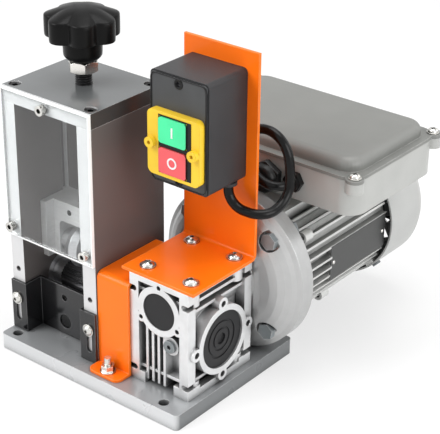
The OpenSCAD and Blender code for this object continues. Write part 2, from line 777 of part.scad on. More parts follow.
module star_knob() color([0.07, 0.07, 0.08]) translate([tower_cx, axis_y, 0]) difference() {
    union() {
        translate([0, 0, knob_z])
            cylinder(h = knob_foot, r1 = knob_hub_d / 2 - knob_foot, r2 = knob_hub_d / 2);
        translate([0, 0, knob_z + knob_foot]) cylinder(h = knob_hub_h, d = knob_hub_d);
        intersection() {
            translate([0, 0, knob_lobe_z]) linear_extrude(knob_lobe_h + knob_dome) knob_star();
            translate([0, 0, knob_lobe_z]) rotate_extrude() polygon([[0, 0], [knob_d / 2 - 1, 0],
                [knob_d / 2, 1],
                [knob_d / 2, knob_lobe_h - 1], [knob_d / 2 - 2, knob_lobe_h], [knob_d * 0.2,
                    knob_lobe_h + knob_dome - 0.8],
                [0, knob_lobe_h + knob_dome]]);
        }
    }
    translate([0, 0, knob_z - eps]) cylinder(h = knob_grip + eps, d = screw_d);
}

// Feed roller and its shaft
module feed_roller() color([0.1, 0.1, 0.1]) on_drive_axis() difference() {
    extrude_x(roller_x0, roller_w) polygon([for (i = [0:2 * roller_teeth - 1])
        let (r = roller_r - (i % 2) * tooth_depth) r * [cos(180 * i / roller_teeth),
            sin(180 * i / roller_teeth)]]);
    bar_x(roller_x0 - eps, roller_w + 2 * eps, shaft_r);
}

module drive_shaft() color([0.7, 0.7, 0.72]) on_drive_axis()
    bar_x(inner_x0 - wall_bearing_w + slide_gap,
        gear_cx + hub_end - 1 - inner_x0 + wall_bearing_w - slide_gap, shaft_r);

module spacer_sleeves() color([0.78, 0.78, 0.8]) on_drive_axis() {
    ring_x(inner_x0 + slide_gap, roller_x0 - inner_x0 - slide_gap, sleeve_r, shaft_r);
    ring_x(roller_x1, inner_x1 - slide_gap - roller_x1, sleeve_r, shaft_r);
}

module wall_bearings() color([0.72, 0.73, 0.75]) on_drive_axis()
    for (x = [inner_x0 - wall_bearing_w, inner_x1])
        ring_x(x, wall_bearing_w, wall_bearing_d / 2, shaft_r + run_fit);

// Worm gearbox
module gear_casting() on_gearbox() {
    w = gear_w / 2;
    l = gear_len / 2;
    block(-w + 10, w - 10, -l + front_recess, l - 7, 4, gear_h - 3);
    translate([0, 0, out_h]) bar_x(-out_face, 2 * out_face, barrel_r);
    translate([0, 0, out_h + centre_dist]) bar_y(-l, gear_len, worm_barrel_r);
    block(-w, w, -l, l, gear_h - 5, gear_h);
    for (sx = [-1, 1], sy = [-1, 1]) translate([sx * (w - gear_post / 2), sy * (l - gear_post / 2), 0]) {
        translate([-gear_post / 2, -gear_post / 2, 0]) cube([gear_post, gear_post, gear_h]);
        translate([-sx * (foot_pad - gear_post) / 2, -sy * (foot_pad - gear_post) / 2, 4.5]) cube([foot_pad,
            foot_pad, 9], center = true);
    }
    for (sx = [-1, 1]) translate([sx * (w - 3), 0, 3]) cube([6, gear_len, 6], center = true);
    at_corners(deck_hole_x / 2, deck_hole_y / 2) {
        cylinder(h = 12, d = frame_screw_d * 2.2);
        translate([0, 0, gear_h - 16]) cylinder(h = 16, d = frame_screw_d * 2.2);
    }
    // Ribs on the sides and cooling fins under the worm barrel
    for (z = [gear_h - 14, gear_h - 22, 12]) block(-w + 3, w - 3, -l + 3, l - 3, z, z + 2.5);
    for (x = [-14, -8, -2, 4]) block(x - 1.2, x + 1.2, -l + 2, l - 2, 3, out_h + 12);
    // Bolting lugs of the two output faces and the worm cover
    for (s = [-1, 1], a = [0:90:270]) translate([s * (out_face - 4), out_pcd / 2 * cos(a),
        out_h + out_pcd / 2 * sin(a)])
        bar_x(-4, 8, gear_lug_r);
    for (a = [90, 210, 330]) translate([front_lug_pcd / 2 * cos(a), 0,
        out_h + centre_dist + front_lug_pcd / 2 * sin(a)])
        bar_y(-l, 10, front_lug_r);
    translate([plug_x, 0, plug_z]) bar_y(-l + 1, 12, plug_r + 2);
}

module gear_notch(sx, sy, z) translate([sx * gear_w / 2, sy * (gear_len / 2 - gear_post / 2), z]) {
    cube([9, gear_post + 2 * eps, notch_h], center = true);
    translate([-sx * 4.5, -gear_post / 2 - eps, 0]) bar_y(0, gear_post + 2 * eps, notch_h / 2);
}

module gear_housing() color([0.8, 0.81, 0.82]) difference() {
    gear_casting();
    on_gearbox() {
        translate([0, 0, out_h]) {
            bar_x(-wheel_w / 2 - 2, wheel_w + 4, wheel_r + 3);
            bar_x(-out_face + seal_t + seal_sink, 2 * (out_face - seal_t - seal_sink), out_bearing_r);
            for (x = [-out_face - eps, out_face - seal_t - seal_sink]) bar_x(x, seal_t + seal_sink + eps,
                out_seal_r);
            // The holes of the hidden face are left as cored
            for (s = [-1, 1], a = [0:90:270])
                translate([s * out_face, out_pcd / 2 * cos(a), out_pcd / 2 * sin(a)])
                bar_x(-lug_hole, 2 * lug_hole, s > 0 ? out_hole_d / 2 : out_hole_d / 2 - 0.4);
        }
        translate([0, 0, out_h + centre_dist]) {
            bar_y(-worm_cavity, 2 * worm_cavity, worm_r + 2.5);
            bar_y(-worm_cavity - worm_bearing_w, gear_len, worm_bearing_r - 3);
            bar_y(worm_cavity, gear_len, worm_bearing_r);
            bar_y(-gear_len / 2 - eps, cap_t + eps, cap_r);
            for (a = [90, 210, 330]) translate([front_lug_pcd / 2 * cos(a), 0, front_lug_pcd / 2 * sin(a)])
                bar_y(-gear_len / 2 - eps, 8, 2);
        }
        translate([plug_x, 0, plug_z]) bar_y(-gear_len / 2, 9, plug_r - 2);
        at_corners(deck_hole_x / 2, deck_hole_y / 2) {
            translate([0, 0, -eps]) cylinder(h = 10 + eps, d = frame_screw_d);
            translate([0, 0, gear_h - 12]) cylinder(h = 12 + eps, d = frame_screw_d);
        }
        for (sx = [-1, 1], sy = [-1, 1], z = [11, gear_h - 13]) gear_notch(sx, sy, z);
    }
}

module output_seals() color([0.13, 0.13, 0.14]) on_gearbox() translate([0, 0, out_h])
    for (s = [-1, 1]) translate([s * (out_face - seal_sink - seal_t / 2), 0, 0]) difference() {
        bar_x(-seal_t / 2, seal_t, out_seal_r);
        translate([s * seal_t / 2, 0, 0]) ring_x(-seal_step, 2 * seal_step, seal_groove_r, seal_groove_r - 2);
        // The drive leaves on the left, and the right end is a closed cap with a dimple
        if (s < 0) bar_x(-seal_t, 2 * seal_t, hub_r + slide_gap);
        if (s > 0) bar_x(seal_t / 2 - 2 * seal_step, seal_t, cap_dimple_r);
        if (s > 0) translate([seal_t / 2, 0, 0]) ring_x(-seal_step, 2 * seal_step, hub_r - 1.5, hub_r - 3.5);
    }

module wheel_hub() color([0.55, 0.55, 0.57]) on_drive_axis() translate([gear_cx, 0, 0]) difference() {
    union() {
        bar_x(-out_face + seal_sink, out_face - seal_sink + hub_end, hub_r);
        bar_x(-wheel_w / 2, wheel_w, hub_r + 2);
    }
    bar_x(-out_face, 2 * out_face, shaft_r);
}

module worm_wheel() color([0.78, 0.6, 0.3]) on_drive_axis() translate([gear_cx, 0, 0]) difference() {
    ring_x(-wheel_w / 2, wheel_w, wheel_r, hub_r + 2);
    for (i = [0:wheel_teeth - 1]) rotate([360 * i / wheel_teeth, 0, 0])
        translate([0, 0, wheel_r]) cube([wheel_w + 2 * eps, 2 * PI * wheel_r / wheel_teeth * 0.45, 4.4],
            center = true);
}

module worm_shaft() color([0.6, 0.6, 0.62]) on_worm_axis() translate([0, gear_cy, 0]) difference() {
    union() {
        bar_y(-worm_cavity - worm_bearing_w, 2 * worm_cavity, worm_journal_r);
        bar_y(-worm_cavity + 4, 2 * worm_cavity - 8, worm_r);
        bar_y(0, worm_cavity + worm_bearing_w, worm_input_r);
    }
    bar_y(shaft_y0 - gear_cy, gear_len, motor_shaft_r);
}

module gear_bearings() color([0.72, 0.73, 0.75]) {
    on_drive_axis() translate([gear_cx, 0, 0]) for (s = [-1, 1])
        translate([s * (out_face - seal_t - seal_sink - 5), 0, 0]) ring_x(-5, 10, out_bearing_r,
            hub_r + run_fit);
    on_worm_axis() translate([0, gear_cy, 0]) {
        ring_y(-worm_cavity - worm_bearing_w, worm_bearing_w, worm_bearing_r - 3, worm_journal_r + run_fit);
        ring_y(worm_cavity, worm_bearing_w, worm_bearing_r, worm_input_r + run_fit);
    }
}

module worm_cap() color([0.2, 0.2, 0.21]) on_worm_axis() bar_y(gear_y0 + 1, cap_t - 1, cap_r);

module oil_plug() color([0.45, 0.45, 0.46]) on_gearbox() translate([plug_x, -gear_len / 2, plug_z])
    difference() {
    union() {
        bar_y(0, 9, plug_r - 2);
        bar_y(-1.5, 2.5, plug_r - 0.5);
    }
    rotate([90, 0, 0]) translate([0, 0, -1]) cylinder(h = 4, r = 2.2, $fn = 6);
}

// Motor
module at_flange_bolts() on_worm_axis() for (a = [45:90:315])
    translate([flange_pcd / 2 * cos(a), 0, flange_pcd / 2 * sin(a)]) children();

module motor_adapter() color([0.76, 0.77, 0.77]) difference() {
    on_worm_axis() turn_y() polygon(concat([[worm_input_r + 2, gear_y1], [adapter_neck_r, gear_y1]],
        [for (i = [0:6]) let (a = dome_sweep * i / 6)
            [adapter_neck_r + (flange_r - 4 - adapter_neck_r) * sin(a) / sin(dome_sweep),
            gear_y1 + 1 + (dome_depth - 3) * (1 - cos(a)) / (1 - cos(dome_sweep))]],
        [[flange_r, rim_y0], [flange_r, rim_y1], [spigot_r, rim_y1], [spigot_r, rim_y1 - spigot_t - 1],
        [worm_input_r + 2, rim_y1 - spigot_t - 1]]));
    at_flange_bolts() bar_y(gear_y1, dome_depth + adapter_rim + eps, flange_bolt_d / 2);
    at_flange_bolts() bar_y(gear_y1, bolt_seat_y - gear_y1, flange_bolt_d * 1.1);
}

module motor_flange() color([0.76, 0.77, 0.77]) difference() {
    on_worm_axis() union() {
        turn_y() polygon([[motor_bearing_r - 4, rim_y1 - spigot_t], [spigot_r, rim_y1 - spigot_t], [spigot_r,
            rim_y1],
            [flange_r, rim_y1], [flange_r, flange_y1 - 2], [flange_r - 2, flange_y1],
            [motor_bore_r, flange_y1],
            [motor_bore_r, flange_y1 + 4], [motor_bore_r - 4, flange_y1 + 4],
            [motor_bore_r - 4, flange_y1 - 2],
            [boss_r, flange_y1 - 2], [boss_r, flange_y1 + motor_bearing_w], [motor_bearing_r,
                flange_y1 + motor_bearing_w],
            [motor_bearing_r, flange_y1], [motor_bearing_r - 4, flange_y1]]);
    }
    at_flange_bolts() bar_y(rim_y1 - eps, flange_rim + 2 * eps, flange_bolt_d / 2);
}

module flange_bolts() color([0.7, 0.7, 0.7]) at_flange_bolts() {
    translate([0, bolt_seat_y, 0]) rotate([90, 0, 0]) rotate([0, 0, 20])
        hex_bolt(flange_bolt_d, flange_y1 - bolt_seat_y + bolt_tail);
    translate([0, flange_y1, 0]) rotate([-90, 0, 0]) difference() {
        cylinder(h = flange_bolt_d * 0.8, d = flange_bolt_d * 1.85, $fn = 6);
        translate([0, 0, -eps]) cylinder(h = flange_bolt_d + eps, d = flange_bolt_d);
    }
}

module fin_profile() {
    difference() {
        union() {
            circle(motor_wall_r);
            // Fins stand clear of the pad on top
            for (i = [0:fin_count - 1]) let (a = 360 * (i + 0.5) / fin_count)
                if (abs(a - 90) > pad_clear)
                    rotate(a) polygon([[motor_bore_r + 1, -fin_t], [fin_r, -fin_t / 2], [fin_r, fin_t / 2],
                        [motor_bore_r + 1, fin_t]]);
            translate([-pad_w / 2, 0]) square([pad_w, motor_wall_r]);
        }
        circle(motor_bore_r);
    }
}

module motor_housing() color([0.7, 0.71, 0.7]) on_worm_axis() difference() {
    union() {
        extrude_y(flange_y1, motor_len - rear_t) fin_profile();
        difference() {
            block(-pad_w / 2, pad_w / 2, box_cy - pad_d / 2, box_cy + pad_d / 2, 20, pad_rise);
            bar_y(flange_y1, motor_len, motor_bore_r);
        }
        // Flat seat of the name plate
        difference() {
            block(motor_bore_r - 2, plate_pad_x, plate_cy - plate_w / 2, plate_cy + plate_w / 2,
                -plate_drop - plate_h / 2, -plate_drop + plate_h / 2);
            bar_y(flange_y1, motor_len, motor_bore_r);
        }
        // Bosses for feet and through bolts
        for (s = [-1, 1], y = [flange_y1 + 14, flange_y1 + 46]) rotate([0, s > 0 ? 42 : 138, 0])
            translate([fin_r - 1, 0, 0]) ring_y(y, 10, lug_r, lug_r / 2);
        for (s = [-1, 1]) rotate([0, s > 0 ? -34 : 214, 0]) translate([fin_r - 1, 0, 0])
            ring_y(flange_y1 + 12, 10, lug_r, lug_r / 2);
    }
    // Fins end round the name plate
    block(plate_pad_x, fin_r + eps, plate_cy - plate_w / 2 - plate_gap, plate_cy + plate_w / 2 + plate_gap,
        -plate_drop - plate_h / 2 - plate_gap, -plate_drop + plate_h / 2 + plate_gap);
    // Room for the nuts behind the flange
    for (a = [45:90:315]) translate([flange_pcd / 2 * cos(a), 0, flange_pcd / 2 * sin(a)])
        bar_y(flange_y1 - eps, nut_pocket + eps, flange_bolt_d);
}

module name_plate() color([0.55, 0.55, 0.55]) on_worm_axis() translate([plate_pad_x, plate_cy, -plate_drop])
    difference() {
    translate([0, -plate_w / 2, -plate_h / 2]) cube([plate_t, plate_w, plate_h]);
    for (s = [-1, 1]) translate([0, s * (plate_w / 2 - 4), 0]) bar_x(-eps, 3, 1.2);
}

module stator_core() color([0.5, 0.45, 0.42]) on_worm_axis() {
    ring_y(core_y0, core_len, motor_bore_r, rotor_r + rotor_gap);
    for (y = [core_y0 - 14, core_y0 + core_len]) ring_y(y, 14, motor_bore_r - 4, rotor_r + 5);
}

module rotor_core() color([0.6, 0.6, 0.6]) on_worm_axis() ring_y(core_y0 - 3, core_len + 6, rotor_r,
    motor_shaft_r + 2);

module motor_shaft() color([0.72, 0.72, 0.74]) on_worm_axis() {
    bar_y(shaft_y0, shaft_y1 - shaft_y0, motor_shaft_r);
    bar_y(core_y0 - 3, core_len + 6, motor_shaft_r + 2);
}

module motor_bearings() color([0.72, 0.73, 0.75]) on_worm_axis()
    for (y = [flange_y1, rear_seat_y])
        ring_y(y, motor_bearing_w, motor_bearing_r, motor_shaft_r + run_fit);

module rear_shield() color([0.7, 0.71, 0.7]) on_worm_axis() difference() {
    union() {
        turn_y() polygon([[motor_bearing_r - 4, motor_y1], [motor_wall_r, motor_y1], [motor_wall_r,
            motor_y1 - rear_t],
            [motor_bore_r, motor_y1 - rear_t], [motor_bore_r, motor_y1 - rear_t - 3],
            [motor_bore_r - 4, motor_y1 - rear_t - 3], [motor_bore_r - 4, motor_y1 - rear_t + 1],
            [boss_r, motor_y1 - rear_t + 1], [boss_r, rear_seat_y], [motor_bearing_r, rear_seat_y],
            [motor_bearing_r, motor_y1 - bearing_stop], [motor_bearing_r - 4, motor_y1 - bearing_stop]]);
        // Lugs that carry the fan cowl
        for (a = [45:90:315]) rotate([0, -a, 0])
            block(motor_wall_r - 2, cowl_seat_r, motor_y1 - rear_t, cowl_lug_y1, -cowl_lug_w / 2,
                cowl_lug_w / 2);
    }
    at_cowl_screws() translate([0, 0, -cowl_t - cowl_screw_len - 1]) cylinder(h = cowl_screw_len + 2,
        d = cowl_screw_d);
}

module cooling_fan() color([0.15, 0.15, 0.16]) on_worm_axis() {
    difference() {
        union() {
            bar_y(fan_y0, fan_w, motor_shaft_r + 6);
            bar_y(fan_y0, 2, fan_r - 6);
            for (i = [0:6]) rotate([0, i * 360 / 7, 0]) block(0, fan_r, fan_y0, fan_y0 + fan_w, -1, 1);
        }
        bar_y(fan_y0 - eps, fan_w + 2 * eps, motor_shaft_r);
    }
}

module cowl_grille() for (k = [0:2], i = [0:11]) rotate([0, i * 30 + k * 15, 0])
    block(14 + 13 * k, 24 + 13 * k, cowl_y1 - 3 * cowl_t, cowl_y1 + eps, -1.8 - 0.4 * k, 1.8 + 0.4 * k);

module fan_cowl() color([0.82, 0.82, 0.81]) on_worm_axis() difference() {
    turn_y() polygon([[cowl_r, cowl_y0], [cowl_r, cowl_y1 - 8], [cowl_r - 2.4, cowl_y1 - 2.4], [cowl_r - 8,
        cowl_y1], [0, cowl_y1],
        [0, cowl_y1 - cowl_t], [cowl_r - 8, cowl_y1 - cowl_t], [cowl_r - cowl_t - 2, cowl_y1 - 3.5],
        [cowl_r - cowl_t, cowl_y1 - 8], [cowl_r - cowl_t, cowl_y0]]);
    cowl_grille();
    at_cowl_screws() translate([0, 0, -2 * cowl_t]) cylinder(h = 3 * cowl_t, d = cowl_screw_d);
}

// Cowl screws go through the cowl into the lugs of the rear shield
module at_cowl_screws() for (a = [45:90:315]) rotate([0, -a, 0])
    translate([cowl_r, motor_y1 + 3, 0]) rotate([0, 90, 0]) children();

module cowl_screws() color([0.8, 0.8, 0.8]) on_worm_axis() at_cowl_screws() difference() {
    union() {
        translate([0, 0, -cowl_t - cowl_screw_len]) cylinder(h = cowl_t + cowl_screw_len + eps,
            d = cowl_screw_d);
        cylinder(h = cowl_screw_d / 2, d = 2 * cowl_screw_d);
    }
    translate([-cowl_screw_d, -0.5, cowl_screw_d / 4]) cube([2 * cowl_screw_d, 1, cowl_screw_d]);
}

// Terminal box
module at_box_ears() translate([gear_cx, box_cy, 0]) at_corners(box_w / 2 - ear_inset + 2,
    box_d / 2 - ear_inset + 2) children();

module terminal_box() color([0.75, 0.76, 0.74]) difference() {
    union() {
        translate([gear_cx, box_cy, pad_top]) linear_extrude(box_h) round_rect(box_w, box_d, box_corner_r);
        at_box_ears() translate([0, 0, box_z1 - 9]) cylinder(h = 9, r = ear_r);
    }
    difference() {
        translate([gear_cx, box_cy, pad_top + box_wall]) linear_extrude(box_h)
            round_rect(box_w - 2 * box_wall, box_d - 2 * box_wall, box_corner_r - box_wall);
        at_box_ears() translate([0, 0, box_z1 - 12]) cylinder(h = 13, r = ear_r);
    }
    at_box_ears() translate([0, 0, box_z1 - 8]) cylinder(h = 9, d = lid_screw_d);
    translate([gland_x, 0, gland_z]) bar_y(box_cy - box_d / 2 - eps, box_wall + 2 * eps, gland_r - 2);
    translate([gear_cx, box_cy, pad_top - eps]) cylinder(h = box_wall + 2 * eps, d = 24);
}

// Dome with rounded edges, spanned by one rounded post at each corner
module lid_dome() hull() at_corners(lid_half_x, lid_half_y) {
    cylinder(h = lid_h - lid_fillet, r = box_corner_r, $fn = lid_facets);
    translate([0, 0, lid_h - lid_fillet]) rotate_extrude($fn = lid_facets) intersection() {
        translate([box_corner_r - lid_fillet, 0]) circle(lid_fillet, $fn = lid_facets);
        square([box_corner_r, lid_fillet]);
    }
}

module terminal_lid() color([0.55, 0.56, 0.54]) difference() {
    union() {
        translate([gear_cx, box_cy, box_z1]) linear_extrude(lid_rim)
            round_rect(box_w + 2, box_d + 2, box_corner_r);
        at_box_ears() translate([0, 0, box_z1]) cylinder(h = lid_rim, r = ear_r);
        translate([gear_cx, box_cy, box_z1]) lid_dome();
    }
    translate([gear_cx, box_cy, box_z1 - eps]) linear_extrude(lid_h - lid_fillet)
        round_rect(box_w - 2 * lid_inset - 6, box_d - 2 * lid_inset - 6, box_corner_r - 4);
    at_box_ears() translate([0, 0, box_z1 - eps])
        cylinder(h = lid_rim + 2 * eps, d = lid_screw_d + 2 * run_fit);
}

module lid_screws() color([0.85, 0.85, 0.84]) at_box_ears() translate([0, 0, box_z1 + lid_rim]) difference() {
    union() {
        translate([0, 0, -9]) cylinder(h = 9 + eps, d = lid_screw_d);
        cylinder(h = 1, d = 11);
        intersection() {
            translate([0, 0, -1.5]) sphere(5.5);
            cylinder(h = 4, d = 9);
        }
    }
    translate([-5, -0.6, 2.6]) cube([10, 1.2, 3]);
}

module run_capacitor() color([0.25, 0.27, 0.3]) translate([gear_cx - box_w / 4, 0,
    pad_top + box_wall + capacitor_r])
    bar_y(box_cy - capacitor_len / 2, capacitor_len, capacitor_r);

module terminal_block() color([0.2, 0.2, 0.2]) translate([gear_cx + box_w / 5, box_cy,
    pad_top + box_wall]) difference() {
    translate([-block_size[0] / 2, -block_size[1] / 2, 0]) cube(block_size);
    for (i = [0:block_poles - 1]) translate([0, (i - (block_poles - 1) / 2) * block_size[1] / block_poles,
        block_size[2]]) cube([block_size[0] + 2 * eps, block_size[1] / block_poles * 0.6, 8], center = true);
}

module box_gland() color([0.1, 0.1, 0.1]) translate([gland_x, box_cy - box_d / 2, gland_z]) difference() {
    union() {
        rotate([90, 0, 0]) cylinder(h = gland_reach - 2, r = gland_r, $fn = 6);
        bar_y(-gland_reach, 3, gland_r - 2);
        bar_y(-eps, box_wall + eps, gland_r - 2);
        bar_y(box_wall, 3, gland_r);
    }
    bar_y(0, 10, lead_d / 2);
}

// Guard over the coupling: an inverted channel with a foot at the front and at the back
module at_guard_bolts() for (y = guard_bolt_ys) translate([guard_bolt_x, y, 0]) children();

// Arch of the given half width and height with rounded upper corners
module arch(half, height, r) {
    translate([-half, 0]) square([2 * half, height - r]);
    translate([-half + r, 0]) square([2 * (half - r), height]);
    for (s = [-1, 1]) translate([s * (half - r), height - r]) circle(r);
}

module guard_profile() translate([guard_y0 + guard_d / 2, base_t]) difference() {
    arch(guard_d / 2, guard_h, bend_r + sheet_t);
    translate([0, -eps]) arch(guard_d / 2 - sheet_t, guard_h - sheet_t + eps, bend_r);
}

module guard_foot_outline() translate([guard_x0, 0]) difference() {
    square([guard_x1 - guard_x0, guard_foot + sheet_t]);
    // Rounded outer corners
    for (s = [0, 1]) translate([s * (guard_x1 - guard_x0), guard_foot + sheet_t]) difference() {
        square(2 * guard_foot_r, center = true);
        translate([(1 - 2 * s) * guard_foot_r, -guard_foot_r]) circle(guard_foot_r);
        translate([(1 - 2 * s) * 2 * guard_foot_r, 0]) square(2 * guard_foot_r, center = true);
    }
}

module coupling_guard() color([1, 0.42, 0.02]) difference() {
    union() {
        extrude_x(guard_x0, guard_x1 - guard_x0) guard_profile();
        translate([0, guard_y1 - sheet_t, base_t]) linear_extrude(sheet_t) guard_foot_outline();
        translate([0, guard_y0 + sheet_t, base_t]) mirror([0, 1, 0]) linear_extrude(sheet_t)
            guard_foot_outline();
    }
    at_guard_bolts() translate([0, 0, base_t - eps]) cylinder(h = sheet_t + 2 * eps,
        d = guard_bolt_d + 2 * run_fit);
    // Relief round the gearbox's rear lug
    on_drive_axis() translate([0, out_pcd / 2, 0]) bar_x(gear_cx - out_face - slide_gap, gear_w,
        gear_lug_r + slide_gap);
}

module guard_bolt() color([0.85, 0.85, 0.84]) at_guard_bolts() {
    translate([0, 0, 1]) cylinder(h = guard_bolt_d - 1, d = guard_bolt_d * 1.85, $fn = 6);
    translate([0, 0, 1]) cylinder(h = base_t + sheet_t + 12, d = guard_bolt_d);
    translate([0, 0, base_t + sheet_t]) cylinder(h = washer_t, d = guard_bolt_d * 2.2);
    translate([0, 0, base_t + sheet_t]) cylinder(h = washer_t + 5, d = guard_bolt_d * 1.85, $fn = 6);
}

// Switch bracket
module bracket_profile() {
    r = bend_r + sheet_t;
    translate([gear_y0, gear_top]) square([bracket_y1 - r - gear_y0, sheet_t]);
    translate([bracket_y0, gear_top + r]) square([sheet_t, bracket_top - gear_top - r]);
    translate([bracket_y1 - r, gear_top + r]) intersection() {
        difference() {
            circle(r);
            circle(bend_r);
        }
        translate([0, -r]) square([r, r]);
    }
}

module switch_bracket() color([1, 0.42, 0.02]) difference() {
    extrude_x(bracket_x0, bracket_w) bracket_profile();
    at_gear_screws() translate([0, 0, gear_h - eps]) cylinder(h = sheet_t + 2 * eps,
        d = frame_screw_d + 2 * run_fit);
}

module bracket_screws() color([0.85, 0.85, 0.84]) at_gear_screws() translate([0, 0, gear_h + sheet_t]) {
    washer(frame_screw_d);
    translate([0, 0, washer_t]) button_screw(frame_screw_d, washer_t + sheet_t + 10);
}

// Switch
module switch_outline(inset) translate([switch_cx, switch_cz])
    round_rect(switch_w - 2 * inset, switch_h - 2 * inset, max(switch_r - inset, 1));

module switch_box() color([0.2, 0.2, 0.21]) difference() {
    union() {
        extrude_y(switch_y0 + cover_lip, switch_d - cover_lip) switch_outline(0);
        translate([lead_exit[0], lead_exit[1], switch_z0 - grommet_h]) cylinder(h = grommet_h + eps,
            d = lead_d + 6);
    }
    difference() {
        extrude_y(switch_y0, switch_d - switch_wall) switch_outline(switch_wall);
        at_cover_screws() bar_y(0, switch_d, cover_boss_r);
    }
    extrude_y(switch_y0, cover_t) switch_outline(cover_lip);
    at_cover_screws() bar_y(0, 14, cover_screw_r);
    // The lead's cores pass the grommet, and its jacket butts on it
    translate([lead_exit[0], lead_exit[1], switch_z0 - grommet_h - eps])
        cylinder(h = switch_wall + grommet_h + 2 * eps, d = lead_d - 2);
    translate([switch_cx - 12, lead_exit[1], switch_z0 - eps]) cylinder(h = switch_wall + 2 * eps,
        d = lead_d + 4);
}

module at_cover_screws() for (s = [-1, 1]) translate([switch_cx, switch_y0,
    switch_cz + s * (switch_h / 2 - cover_screw_z)]) children();

module button_window(dy, grow) for (z = [start_z, stop_z]) translate([button_cx, 0, z])
    extrude_y(dy, 40) round_rect(button_w + 2 * grow, button_h + 2 * grow, 2);

module switch_cover() color([0.42, 0.43, 0.44]) difference() {
    extrude_y(switch_y0, cover_t) switch_outline(cover_lip);
    at_cover_screws() bar_y(-eps, cover_t + 2 * eps, cover_screw_r);
    button_window(switch_y0 - 20, slide_gap);
}

module cover_screws() color([0.3, 0.3, 0.3]) at_cover_screws() difference() {
    bar_y(1, 12, cover_screw_r);
    block(-3, 3, 0, 1.8, -0.5, 0.5);
}

module button_frame() color([0.98, 0.82, 0.2]) difference() {
    union() {
        translate([switch_cx, 0, frame_cz]) extrude_y(switch_y0 - frame_t, frame_t) round_rect(frame_w,
            frame_h, 5);
        for (s = [-1, 1]) translate([switch_cx + s * 21, 0, frame_cz]) bar_y(switch_y0 - frame_t - 4, 6,
            lug_d / 2);
    }
    button_window(switch_y0 - 20, slide_gap);
    for (s = [-1, 1]) translate([switch_cx + s * 21, 0, frame_cz]) bar_y(switch_y0 - frame_t - 5, 4, 1.5);
}

module push_button(z) translate([button_cx, 0, z]) {
    extrude_y(button_y0, frame_t + button_proud + cover_t + 2) round_rect(button_w, button_h, 2);
    bar_y(button_y0 + 8, frame_t + button_proud + cover_t + 4, stem_r);
}

module start_button() color([0.2, 0.85, 0.5]) push_button(start_z);

module stop_button() color([0.95, 0.3, 0.33]) push_button(stop_z);

module contact_block() color([0.16, 0.16, 0.17]) difference() {
    block(switch_cx - 17, switch_cx + 17, switch_y0 + cover_t + 2 + button_travel + 1,
        switch_y1 - switch_wall,
        stop_z - 12, start_z + 12);
    for (z = [start_z, stop_z]) translate([button_cx, 0, z])
        bar_y(switch_y0, cover_t + button_travel + 16, stem_r + slide_gap);
}

// Lead swept along its own points
function unit(v) = v / norm(v);
function lead_dir(p, i) = unit(p[min(i + 1, len(p) - 1)] - p[max(i - 1, 0)]);
function lead_frames(p, i, side) = i == len(p) ? [] :
    let (t = lead_dir(p, i), n = unit(side - (side * t) * t)) concat([[n, cross(t, n)]], lead_frames(p,
        i + 1, n));

module swept_tube(p, r, sides) {
    frames = lead_frames(p, 0, [1, 0, 0]);
    last = (len(p) - 1) * sides;
    points = [for (i = [0:len(p) - 1], k = [0:sides - 1])
        p[i] + r * (cos(360 * k / sides) * frames[i][0] + sin(360 * k / sides) * frames[i][1])];
    walls = [for (i = [0:len(p) - 2], k = [0:sides - 1]) let (a = i * sides + k, b = i * sides + (k + 1)
        % sides)
        each [[a, a + sides, b], [b, a + sides, b + sides]]];
    polyhedron(points, concat([[for (k = [0:sides - 1]) k]], walls, [[for (k = [sides - 1:-1:0]) last + k]]));
}

module switch_lead() color([0.06, 0.06, 0.06]) swept_tube(lead_points, lead_d / 2, lead_sides);

base_plate();
left_wall();
right_wall();
top_plate();
frame_screws();
front_shield();
shield_screws();
guide_plate();
guide_screws();
carriage_yoke();
yoke_set_screws();
blade_axle();
blade_spacers();
round_blade();
adjusting_screw();
star_knob();
lock_nut();
feed_roller();
drive_shaft();
spacer_sleeves();
wall_bearings();
gear_housing();
output_seals();
wheel_hub();
worm_wheel();
worm_shaft();
gear_bearings();
worm_cap();
oil_plug();
motor_adapter();
motor_flange();
flange_bolts();
motor_housing();
name_plate();
stator_core();
rotor_core();
motor_shaft();
motor_bearings();
rear_shield();
cooling_fan();
fan_cowl();
cowl_screws();
terminal_box();
terminal_lid();
lid_screws();
run_capacitor();
terminal_block();
box_gland();
coupling_guard();
guard_bolt();
switch_bracket();
bracket_screws();
switch_box();
switch_cover();
cover_screws();
button_frame();
start_button();
stop_button();
contact_block();
switch_lead();
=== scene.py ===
"""Looks of the electric wire stripper: finishes for the solids, and pieces where a solid is too plain."""
import logging
import math
from collections.abc import Callable
from dataclasses import dataclass, field
from enum import Enum

import bpy
from mathutils import Matrix, Vector


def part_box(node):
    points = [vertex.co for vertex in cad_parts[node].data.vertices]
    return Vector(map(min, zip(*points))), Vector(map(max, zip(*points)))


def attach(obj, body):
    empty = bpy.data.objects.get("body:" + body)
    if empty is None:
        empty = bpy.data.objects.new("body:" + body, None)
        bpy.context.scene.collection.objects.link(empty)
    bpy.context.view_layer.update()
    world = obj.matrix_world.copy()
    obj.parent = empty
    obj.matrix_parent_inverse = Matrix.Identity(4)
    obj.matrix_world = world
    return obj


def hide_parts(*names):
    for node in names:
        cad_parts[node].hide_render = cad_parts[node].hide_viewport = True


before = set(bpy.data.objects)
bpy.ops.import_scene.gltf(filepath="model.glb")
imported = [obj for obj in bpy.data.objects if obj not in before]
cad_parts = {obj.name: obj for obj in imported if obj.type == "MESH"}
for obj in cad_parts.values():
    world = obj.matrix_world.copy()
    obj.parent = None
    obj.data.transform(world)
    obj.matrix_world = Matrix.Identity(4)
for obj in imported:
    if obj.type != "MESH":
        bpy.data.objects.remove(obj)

logging.basicConfig(level=logging.INFO, format="%(name)s: %(message)s")
LOG = logging.getLogger("wire_stripper")
Point = tuple[float, float, float]
Ring = tuple[float, float]
Piece = bpy.types.Object
Tree = bpy.types.NodeTree
